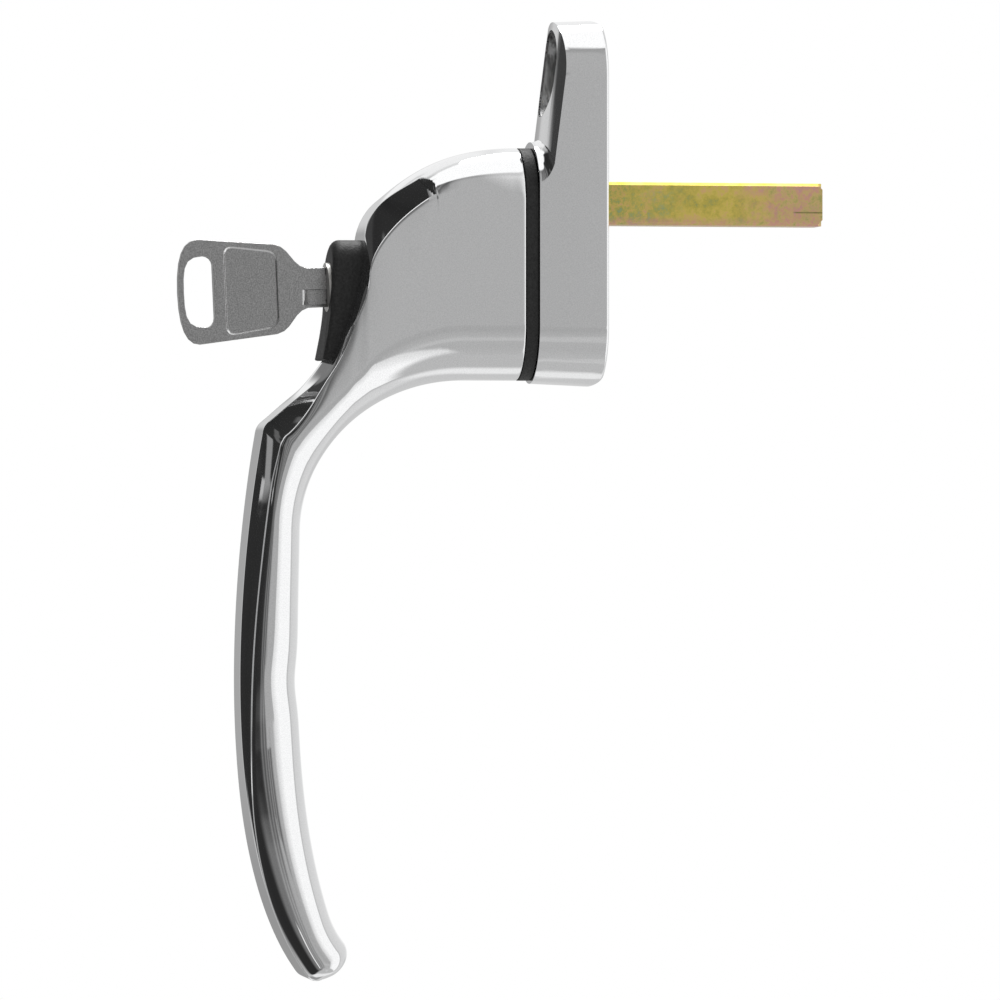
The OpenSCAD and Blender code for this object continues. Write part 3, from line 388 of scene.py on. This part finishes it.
def eased(bm, width, segments=3, chosen=None, degrees=30):
    """Round the sharp edges, or those of them whose middle, in millimetres, is chosen."""
    edges = []
    for e in bm.edges:
        if len(e.link_faces) == 2 and e.calc_face_angle(0) > math.radians(degrees):
            middle = (e.verts[0].co + e.verts[1].co) / (2 * MM)
            if chosen is None or chosen(middle):
                edges.append(e)
    bmesh.ops.bevel(
        bm, geom=edges, offset=width * MM, offset_type="OFFSET", segments=segments, profile=0.5,
        affect="EDGES", material=-1, clamp_overlap=True,
    )


def dressed(node, body, material, bm):
    piece = finished(node + "_dressed", bm, body, material)
    even = piece.modifiers.new("even_shading", "WEIGHTED_NORMAL")
    even.keep_sharp = True
    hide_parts(node)


# Outer edge of the base plate: height where its round ends start, least radius, furthest back
BASE_END_Z = 20
BASE_EDGE_R = 8.8
BASE_EDGE_Y = -4.5


def outer_front(middle):
    """True on the base's outer edge towards the room."""
    out = math.hypot(middle.x, max(abs(middle.z) - BASE_END_Z, 0))
    return out > BASE_EDGE_R and middle.y < BASE_EDGE_Y


def base_casting(material):
    bm = copied("base_plate")
    eased(bm, 0.5, 4, outer_front)
    eased(bm, 0.15, 2)
    dressed("base_plate", "base", material, bm)


# The lock: height, tilt, middle of the plug's face, and the ways out of it and up it
LOCK_Z = -13.9
LOCK_TILT = math.radians(2.5)
LOCK_LEAN = math.tan(LOCK_TILT)
LOCK_FACE = Vector((0, -44.8, LOCK_Z))
LOCK_OUT = Vector((0, -math.cos(LOCK_TILT), -math.sin(LOCK_TILT)))
LOCK_UP = Vector((0, LOCK_OUT.z, -LOCK_OUT.y))
# The key: its panels' floor and drawn-in edge, its groove's floor, end, run-out, lower lip and least face
PANEL_FLOOR = 0.8
PANEL_DRAW = 0.35
GROOVE_FLOOR = 0.4
GROOVE_END = 4.4
GROOVE_RUN = 1.4
GROOVE_LOW = -2.8
GROOVE_FACE = 0.95
TOUCH = 0.05


def key_blank(material):
    """The key, with sloping edges to its panels and a run-out at the end of its groove."""
    bm = copied("key")
    for side in (-1, 1):
        floor = [v for v in bm.verts if abs(v.co.x / MM - side * PANEL_FLOOR) < 0.01]
        centre = sum((v.co for v in floor), Vector()) / len(floor)
        for v in floor:
            away = v.co - centre
            v.co -= Vector((0, away.y, away.z)) * (PANEL_DRAW * MM / away.length)

    for v in bm.verts:
        along = (v.co / MM - LOCK_FACE).dot(LOCK_OUT)
        if abs(along - GROOVE_END) < TOUCH and abs(v.co.x / MM - GROOVE_FLOOR) < TOUCH:
            v.co -= LOCK_OUT * (GROOVE_RUN * MM)

    def groove_end(middle):
        along = (middle - LOCK_FACE).dot(LOCK_OUT)
        return abs(along - GROOVE_END + GROOVE_RUN) < TOUCH and abs(middle.x - GROOVE_FLOOR) < TOUCH

    def groove_lip(middle):
        away = middle - LOCK_FACE
        on_lip = middle.x > GROOVE_FACE and abs(away.dot(LOCK_UP) - GROOVE_LOW) < TOUCH
        return on_lip and away.dot(LOCK_OUT) < GROOVE_END

    eased(bm, 0.7, 6, groove_end, 10)
    eased(bm, 0.25, 3, groove_lip)
    eased(bm, 0.1, 2)
    dressed("key", "key", material, bm)


# The nose: height, reach, foot, easings of its edge, plug hole, depth of its seat on the sleeve
NOSE_H = 19.6
NOSE_REACH = 31.3
NOSE_FOOT_RISE = 0.6
NOSE_FOOT_SHARE = 0.42
NOSE_FOOT_PULL = 2.5
NOSE_EDGE = 0.7
NOSE_TOP_EDGE = 1.5
PLUG_HOLE_R = 4.05
PLUG_HOLE_D = 2.5
SEAT_D = 6.86


def nose_face(z):
    return NOSE_REACH + (LOCK_Z - z) * LOCK_LEAN


def nose_forward(z):
    """Reach of the nose at a height: its face, then its foot that curves out to the lever."""
    bottom = CROWN_END_Z - NOSE_H
    bend = bottom + NOSE_FOOT_SHARE * NOSE_H
    if z >= bend:
        return nose_face(z)
    pull = bend - NOSE_FOOT_PULL
    front = [front_curve(1 + i / 200) for i in range(200)]
    foot = min(front, key=lambda p: abs(p.y - bottom)).x + NOSE_FOOT_RISE
    curve = (Vector((foot, bottom)), Vector((nose_face(pull), pull)), Vector((nose_face(bend), bend)))
    near = [quadratic(curve, i / 60) for i in range(61)]
    return min(near, key=lambda p: abs(p.y - z)).x


def nose_outline(inset):
    """Front view of the nose from its lower right corner, up, over the round top and down."""
    r = NOSE_W / 2 - inset
    top, bottom = CROWN_END_Z - NOSE_W / 2, CROWN_END_Z - NOSE_H + 0.4 * inset
    right = [Vector((r, bottom + (top - bottom) * i / 16)) for i in range(16)]
    turns = [math.pi * i / 32 for i in range(33)]
    over = [Vector((r * math.cos(a), top + r * math.sin(a))) for a in turns]
    left = [Vector((-p.x, p.y)) for p in reversed(right)]
    under = [Vector((r * (i / 4 - 1), bottom)) for i in range(1, 8)]
    return right + over + left + under


def lock_nose(material):
    """The housing: the nose with soft edges and the plug's hole, on the sleeve behind it."""
    root_y = root_plane()
    bm = copied("lock_housing")
    seat = (LOCK_FACE - LOCK_OUT * SEAT_D) * MM
    cut = bmesh.ops.bisect_plane(
        bm, geom=bm.verts[:] + bm.edges[:] + bm.faces[:], plane_co=seat, plane_no=LOCK_OUT, clear_outer=True
    )
    bmesh.ops.holes_fill(bm, edges=[g for g in cut["geom_cut"] if isinstance(g, bmesh.types.BMEdge)])

    def point(x, forward, z):
        return Vector((x * MM, root_y - forward * MM, z * MM))

    outline = nose_outline(0)
    hole = [(p - Vector((0, LOCK_Z))).normalized() * PLUG_HOLE_R for p in outline]
    rings = []
    for back in (PLUG_HOLE_D, 0):
        heights = [p.y + LOCK_Z for p in hole]
        rings.append([point(p.x, nose_face(z) - back, z + back * LOCK_LEAN) for p, z in zip(hole, heights)])
    top = CROWN_END_Z - NOSE_W / 2
    growth = NOSE_TOP_EDGE - NOSE_EDGE
    radii = [NOSE_EDGE + growth * soft((p.y - top) * 2 / NOSE_W) for p in outline]
    for a in [math.radians(90 - 15 * i) for i in range(7)]:
        ring = []
        for i, radius in enumerate(radii):
            p = nose_outline(radius * (1 - math.cos(a)))[i]
            ring.append(point(p.x, nose_forward(outline[i].y) - radius * (1 - math.sin(a)), p.y))
        rings.append(ring)
    seat_line = [NOSE_REACH - SEAT_D + (LOCK_Z - p.y) * LOCK_LEAN for p in outline]
    rings.append([point(p.x, forward, p.y) for p, forward in zip(outline, seat_line)])
    loops = [ring_loop(bm, ring) for ring in rings]
    for low, high in zip(loops, loops[1:] + loops[:1]):
        bmesh.ops.bridge_loops(bm, edges=low + high)
    dressed("lock_housing", "lever", material, bm)


def plain_dressed(node, body, material, width):
    bm = copied(node)
    eased(bm, width)
    dressed(node, body, material, bm)


# Materials

class Nodes:
    """A node tree with short calls for the nodes used here."""

    def __init__(self, tree):
        self.tree = tree

    def node(self, kind, **values):
        made = self.tree.nodes.new(kind)
        for key, value in values.items():
            setattr(made, key, value)
        return made

    def link(self, output, target):
        self.tree.links.new(output, target)

    def place(self):
        return self.node("ShaderNodeTexCoord").outputs["Object"]

    def noise(self, scale, detail=3, roughness=0.55, stretch=None):
        made = self.node("ShaderNodeTexNoise")
        made.inputs["Scale"].default_value = scale
        made.inputs["Detail"].default_value = detail
        made.inputs["Roughness"].default_value = roughness
        source = self.place()
        if stretch:
            mapping = self.node("ShaderNodeMapping")
            mapping.inputs["Scale"].default_value = stretch
            self.link(source, mapping.inputs["Vector"])
            source = mapping.outputs["Vector"]
        self.link(source, made.inputs["Vector"])
        return made.outputs["Fac"]

    def ramp(self, source, stops):
        made = self.node("ShaderNodeValToRGB")
        points = made.color_ramp.elements
        while len(points) < len(stops):
            points.new(0.5)
        for point, (position, colour) in zip(points, stops):
            point.position = position
            point.color = (*colour, 1)
        self.link(source, made.inputs["Fac"])
        return made.outputs["Color"]

    def span(self, source, low, high):
        made = self.node("ShaderNodeMapRange")
        made.inputs["To Min"].default_value = low
        made.inputs["To Max"].default_value = high
        self.link(source, made.inputs["Value"])
        return made.outputs["Result"]

    def axes(self):
        made = self.node("ShaderNodeSeparateXYZ")
        self.link(self.place(), made.inputs[0])
        return made.outputs

    def sum(self, operation, *values):
        """Result of a Math node on values or outputs."""
        made = self.node("ShaderNodeMath", operation=operation)
        for slot, value in zip(made.inputs, values):
            if isinstance(value, (int, float)):
                slot.default_value = value
            else:
                self.link(value, slot)
        return made.outputs[0]

    def step(self, value, low, high):
        """Soft step from 0 at low to 1 at high."""
        made = self.node("ShaderNodeMapRange", interpolation_type="SMOOTHSTEP")
        if low > high:
            low, high = high, low
            made.inputs["To Min"].default_value, made.inputs["To Max"].default_value = 1, 0
        made.inputs["From Min"].default_value = low
        made.inputs["From Max"].default_value = high
        self.link(value, made.inputs["Value"])
        return made.outputs["Result"]

    def times(self, a, b):
        return self.sum("MULTIPLY", a, b)

    def blend(self, factor, a, b):
        """Value a where the factor is 0, b where it is 1."""
        rest = self.sum("SUBTRACT", 1, factor)
        return self.sum("ADD", self.times(a, rest), self.times(b, factor))

    def mix(self, factor, a, b):
        """Mix two colours by a factor."""
        made = self.node("ShaderNodeMix", data_type="RGBA")
        self.link(factor, made.inputs["Factor"])
        self.link(a, made.inputs["A"])
        self.link(b, made.inputs["B"])
        return made.outputs["Result"]


class Shader(Nodes):
    """A material and its surface."""

    def __init__(self, name):
        self.material = bpy.data.materials.new(name)
        self.material.use_nodes = True
        super().__init__(self.material.node_tree)
        self.surface = self.tree.nodes["Principled BSDF"]

    def set(self, name, value):
        self.surface.inputs[name].default_value = value

    def colour(self, output):
        self.link(output, self.surface.inputs["Base Color"])

    def rough(self, output):
        self.link(output, self.surface.inputs["Roughness"])

    def bump(self, source, strength, distance):
        made = self.node("ShaderNodeBump")
        made.inputs["Strength"].default_value = strength
        made.inputs["Distance"].default_value = distance
        self.link(source, made.inputs["Height"])
        self.link(made.outputs["Normal"], self.surface.inputs["Normal"])


def grey(value):
    return (value, value, value)


def chrome_tone(m):
    return m.ramp(m.noise(5200, 1), ((0.3, (0.83, 0.834, 0.84)), (0.7, (0.93, 0.932, 0.936))))


def chrome_gloss(m):
    return m.span(m.noise(160), 0.03, 0.06)


def polished_chrome():
    m = Shader("polished_chrome")
    m.set("Metallic", 1)
    m.colour(chrome_tone(m))
    m.rough(chrome_gloss(m))
    return m.material


# Front of the screw lobe in metres: radius of its crown, reach at the spindle's height, slope
LOBE_CROWN_R = 0.03
LOBE_FRONT = 0.01135
LOBE_SLOPE = 0.125


def chrome_with_painted_recess_shade():
    """Chrome with painted shade and light streaks of painted reflection on the walls of the screw recess,
    which are also rougher.
    """
    m = Shader("chrome_with_painted_recess_shade")
    m.set("Metallic", 1)
    x, y, z = m.axes()
    crown = m.sum("SUBTRACT", m.times(m.times(x, x), 1 / (2 * LOBE_CROWN_R)), LOBE_FRONT)
    surface = m.sum("ADD", crown, m.times(z, LOBE_SLOPE))
    # Walls of the screw recess, where the shade and reflections are painted
    painted_shade_recess = m.step(m.sum("SUBTRACT", y, surface), 0.0002, 0.0006)
    across = m.sum("ABSOLUTE", x)
    bounds = ((across, 0.0061, 0.0056), (z, 0.0135, 0.0141), (z, 0.029, 0.0286), (y, -0.0038, -0.0044))
    for place, outside, inside in bounds:
        painted_shade_recess = m.times(painted_shade_recess, m.step(place, outside, inside))
    # Painted shade and painted reflections in the recess: dark greys with light streaks
    painted_reflection_streaks = m.ramp(m.noise(900, 4, stretch=(1, 1, 0.12)), (
        (0.36, grey(0.16)), (0.5, grey(0.55)), (0.6, grey(0.9)),
    ))
    m.colour(m.mix(painted_shade_recess, chrome_tone(m), painted_reflection_streaks))
    m.rough(m.sum("ADD", chrome_gloss(m), m.times(painted_shade_recess, 0.5)))
    return m.material


def black_nylon():
    m = Shader("black_nylon")
    m.colour(m.ramp(m.noise(2600, 2), ((0.3, grey(0.012)), (0.7, grey(0.026)))))
    m.rough(m.span(m.noise(1500), 0.46, 0.62))
    m.set("Specular IOR Level", 0.3)
    m.bump(m.noise(3200, 2), 0.9, 0.00007)
    return m.material


def satin_key():
    """Tumbled plating with a fine grain, and a painted highlight, a lighter colour, on the sloping edges of
    the panels, which are also smoother.
    """
    m = Shader("satin_key_steel")
    m.set("Metallic", 1)
    out = m.sum("ABSOLUTE", m.axes()["X"])
    # Sloping edges of the panels, where a highlight is painted
    painted_highlight_slopes = m.times(m.step(out, 0.00081, 0.00084), m.step(out, 0.00099, 0.00096))
    grain = m.ramp(m.noise(5200, 2), ((0.34, grey(0.3)), (0.66, grey(0.54))))
    # Painted highlight: a lighter grain for the sloping edges
    painted_highlight = m.ramp(m.noise(5200, 2), ((0.34, grey(0.74)), (0.66, grey(0.86))))
    m.colour(m.mix(painted_highlight_slopes, grain, painted_highlight))
    rough = m.blend(painted_highlight_slopes, m.span(m.noise(2600), 0.3, 0.46), 0.16)
    m.rough(rough)
    m.bump(m.noise(4600, 2), 0.4, 0.00004)
    return m.material


def rainbow_zinc():
    """Yellow passivation: gold with olive and green by the base and pink towards the end, and a painted
    highlight of lighter gold along the top.
    """
    m = Shader("yellow_passivated")
    m.set("Metallic", 1)
    y, z = m.axes()[1:]
    gold = m.ramp(m.noise(420, 5, 0.7), (
        (0.32, (0.5, 0.5, 0.18)), (0.43, (0.72, 0.6, 0.13)),
        (0.55, (0.88, 0.7, 0.17)), (0.66, (0.92, 0.6, 0.28)),
    ))
    green = m.ramp(m.noise(1000, 5, 0.7), (
        (0.34, (0.3, 0.5, 0.34)), (0.46, (0.5, 0.52, 0.16)),
        (0.58, (0.82, 0.62, 0.18)), (0.7, (0.84, 0.48, 0.34)),
    ))
    pink = m.ramp(m.noise(700, 5, 0.7), (
        (0.34, (0.5, 0.5, 0.2)), (0.46, (0.82, 0.6, 0.3)),
        (0.58, (0.86, 0.42, 0.4)), (0.7, (0.72, 0.36, 0.56)),
    ))
    wander = m.times(m.sum("SUBTRACT", m.noise(180, 2), 0.5), 0.03)
    along = m.sum("ADD", y, wander)
    colour = m.mix(m.times(m.step(along, 0.016, 0.002), 0.85), gold, green)
    colour = m.mix(m.times(m.step(along, 0.019, 0.034), 0.75), colour, pink)
    low = m.step(m.sum("ADD", z, m.times(wander, 0.05)), -0.0019, -0.0032)
    colour = m.mix(m.times(low, 0.6), colour, pink)
    # Painted highlight: lighter gold along the top of the spindle
    painted_highlight = m.step(z, 0.0029, 0.0032)
    colour = m.mix(painted_highlight, colour, m.ramp(m.noise(500), ((0.3, (0.9, 0.66, 0.1)), (0.7, (1, 0.84, 0.24)))))
    off = m.sum("ABSOLUTE", m.sum("ADD", z, 0.0013))
    scratch = m.times(m.step(off, 0.00016, 0.00006), m.step(y, 0.0318, 0.0326))
    colour = m.mix(scratch, colour, m.ramp(m.noise(900), ((0.3, (0.3, 0.26, 0.1)), (0.7, (0.4, 0.34, 0.14)))))
    m.colour(colour)
    m.rough(m.span(m.noise(900), 0.28, 0.42))
    m.bump(m.noise(1500, 3), 0.15, 0.00004)
    return m.material


def plain_metal(name, dark, light, low, high, scale=600):
    m = Shader(name)
    m.set("Metallic", 1)
    m.colour(m.ramp(m.noise(scale), ((0.3, dark), (0.7, light))))
    m.rough(m.span(m.noise(scale * 2), low, high))
    return m.material


def natural_acetal():
    m = Shader("natural_acetal")
    m.colour(m.ramp(m.noise(500), ((0.3, (0.72, 0.7, 0.64)), (0.7, (0.78, 0.76, 0.7)))))
    m.rough(m.span(m.noise(900), 0.35, 0.5))
    return m.material


# Studio

# Light by bearing from +X round through the room side, in degrees
RING_STOPS = (
    (0, 0.4), (5, 0.22), (10, 0.12), (15, 0.3), (20, 0.12), (26, 0.28), (32, 0.1), (38, 0.24), (45, 0.08),
    (52, 0.2), (58, 0.05), (64, 0.03), (95, 0.025), (122, 0.03), (134, 0.5), (150, 0.64), (163, 0.62),
    (167.5, 0.4), (184, 0.38), (190, 0.95), (200, 0.92), (210, 0.76), (250, 0.7), (256, 0.64), (259, 0.46),
    (263, 1.05), (312, 1.05), (338, 0.75), (346, 0.46), (353, 0.46), (360, 0.4),
)
# Zones of the ring with a light of their own: bearings and heights of their soft edges, light
FAR_SIDE = (148, 158, 186, 192)
ZONES = (
    (FAR_SIDE, (4.5, 9, 91, 92), 0.66),
    (FAR_SIDE, (10, 15, 91, 92), 0.95),
    (FAR_SIDE, (-92, -91, -8, -3), 0.32),
    ((188, 192, 215, 230), (-92, -91, -8, -2), 0.62),
    ((140, 150, 164, 172), (11, 14, 34, 42), 0.2),
    ((100, 110, 146, 154), (8, 9, 42, 50), 0.05),
)
# Light on the near side below the horizon, by degrees down
NEAR_STOPS = (
    (0, 0.46), (4, 0.43), (10, 0.42), (16, 0.45), (23, 0.48), (28, 0.55), (31, 0.55), (34, 0.48), (45, 0.47),
    (60, 0.5), (66, 0.52), (72, 0.64), (78, 0.56), (90, 0.62),
)
# Soft lights in the dark side: bearing, its half width, height, its half width, softness, light
PATCHES = (
    (92, 3, 10, 2.5, 2, 0.3), (98, 2, 7.5, 0.5, 0.8, 0.5), (78, 2, 30, 12, 3, 0.12), (62, 1.5, -36, 12, 2, 1),
)


def world_studio():
    """Light tents by direction: grey to the side, black to the room side, white behind and above."""
    world = bpy.data.worlds.new("studio")
    bpy.context.scene.world = world
    world.use_nodes = True
    m = Nodes(world.node_tree)
    background = m.tree.nodes["Background"]
    way = m.node("ShaderNodeSeparateXYZ")
    m.link(m.node("ShaderNodeTexCoord").outputs["Generated"], way.inputs[0])
    x, y, z = way.outputs
    bearing = m.times(m.sum("ARCTAN2", m.times(y, -1), x), 180 / math.pi)
    bearing = m.sum("FLOORED_MODULO", bearing, 360)
    height = m.times(m.sum("ARCSINE", z), 180 / math.pi)
    fall = m.times(height, -1)

    def within(value, low, low_end, high, high_end):
        return m.times(m.step(value, low, low_end), m.step(value, high_end, high))

    stops = [(degrees / 360, grey(value)) for degrees, value in RING_STOPS]
    ring = m.ramp(m.sum("DIVIDE", bearing, 360), stops)
    for bearings, heights, light in ZONES:
        zone = m.times(within(bearing, *bearings), within(height, *heights))
        ring = m.blend(zone, ring, light)
    dark = within(bearing, 40, 58, 122, 134)
    low_side = m.times(within(bearing, 5, 12, 74, 88), m.step(fall, 2, 14))
    ring = m.sum("ADD", ring, m.times(low_side, 0.16))
    ring = m.blend(m.times(dark, m.step(fall, 56, 66)), ring, 0.34)
    for at, half, up, up_half, soft_edge, value in PATCHES:
        side = within(bearing, at - half - soft_edge, at - half, at + half, at + half + soft_edge)
        level = within(height, up - up_half - soft_edge, up - up_half, up + up_half, up + up_half + soft_edge)
        ring = m.blend(m.times(side, level), ring, value)
    shade = m.times(within(height, 50, 58, 59, 64), 0.2)
    ring = m.times(ring, m.sum("SUBTRACT", 1, shade))
    ring = m.blend(m.step(m.sum("SUBTRACT", height, m.times(dark, 8)), 60, 65), ring, 1.12)
    below = m.blend(m.step(m.times(x, -1), 0.1, 0.3), 0.53, 0.9)
    ring = m.blend(m.step(m.sum("SUBTRACT", fall, m.times(dark, 8)), 50, 60), ring, below)
    near = m.step(m.sum("SUBTRACT", x, m.times(m.sum("ABSOLUTE", y), 2.2)), -0.08, 0.08)
    near = m.times(near, m.step(fall, 0, 3))
    low = m.ramp(m.sum("DIVIDE", fall, 90), [(degrees / 90, grey(value)) for degrees, value in NEAR_STOPS])
    ring = m.blend(near, ring, low)

    path = m.node("ShaderNodeLightPath")
    seen = m.sum("MAXIMUM", path.outputs["Is Glossy Ray"], path.outputs["Is Transmission Ray"])
    light = m.blend(path.outputs["Is Camera Ray"], m.blend(seen, 0.75, ring), 1)
    m.link(light, background.inputs["Strength"])
    background.inputs["Color"].default_value = (1, 1, 1, 1)


def soft_lamp(name, place, target, size, watts):
    lamp = bpy.data.lights.new(name, "AREA")
    lamp.energy = watts
    lamp.size = size
    lamp.shape = "DISK"
    holder = bpy.data.objects.new(name, lamp)
    holder.location = place
    holder.rotation_euler = (Vector(target) - Vector(place)).to_track_quat("-Z", "Y").to_euler()
    bpy.context.scene.collection.objects.link(holder)


def pale_floor(height):
    bm = bmesh.new()
    bmesh.ops.create_grid(bm, x_segments=2, y_segments=2, size=2)
    bmesh.ops.translate(bm, verts=bm.verts, vec=(0, 0, height))
    mesh = bpy.data.meshes.new("floor")
    bm.to_mesh(mesh)
    bm.free()
    m = Shader("pale_floor")
    m.colour(m.ramp(m.noise(6), ((0.3, grey(0.8)), (0.7, grey(0.84)))))
    m.set("Roughness", 0.8)
    mesh.materials.append(m.material)
    floor = bpy.data.objects.new("floor", mesh)
    floor.visible_glossy = False
    bpy.context.scene.collection.objects.link(floor)


def photo_camera():
    azimuth = math.radians(79.5)
    target = Vector((0, -0.01626, -0.0485))
    distance = 1.135
    back = Vector((math.sin(azimuth), -math.cos(azimuth), 0))
    lens = bpy.data.cameras.new("photo_camera")
    lens.lens = 250
    lens.sensor_width = 36
    lens.sensor_fit = "HORIZONTAL"
    camera = bpy.data.objects.new("photo_camera", lens)
    camera.location = target + back * distance
    camera.rotation_euler = (-back).to_track_quat("-Z", "Y").to_euler()
    bpy.context.scene.collection.objects.link(camera)
    bpy.context.scene.camera = camera


chrome = polished_chrome()
base_chrome = chrome_with_painted_recess_shade()
nylon = black_nylon()
acetal = natural_acetal()
zinc_plate = plain_metal("bright_zinc", (0.5, 0.51, 0.53), (0.6, 0.61, 0.63), 0.25, 0.4)
spring_steel = plain_metal("oiled_spring_steel", grey(0.22), grey(0.32), 0.25, 0.4)
nickel = plain_metal("satin_nickel", (0.4, 0.395, 0.38), (0.54, 0.53, 0.51), 0.3, 0.44)
brass = plain_metal("stamped_brass", (0.68, 0.52, 0.24), (0.76, 0.6, 0.3), 0.25, 0.4)
key_steel = satin_key()
passivated = rainbow_zinc()

lever_casting(chrome)
base_casting(base_chrome)
key_blank(key_steel)
plain_dressed("bearing_plate", "lever", nylon, 0.15)
lock_nose(nylon)
plain_dressed("spindle", "lever", passivated, 0.15)

# Pieces that keep the shape of their solids
KEPT = {
    "pivot_bush": acetal, "bearing_plate_screws": zinc_plate, "spindle_pin": spring_steel,
    "wave_washer": spring_steel, "thrust_washer": zinc_plate, "retaining_circlip": spring_steel,
    "housing_nut": brass, "lock_plug": nickel, "plug_clip": spring_steel, "wafers": brass,
    "wafer_springs": spring_steel, "lock_pin": zinc_plate, "follower_stud": nickel,
}
for node, material in KEPT.items():
    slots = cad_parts[node].data.materials
    slots.clear()
    slots.append(material)

world_studio()
pale_floor(-0.45)
soft_lamp("overhead", (-0.6, 0.2, 1.05), (0, -0.04, -0.02), 0.5, 9)
photo_camera()
bpy.context.scene.view_settings.view_transform = "Standard"
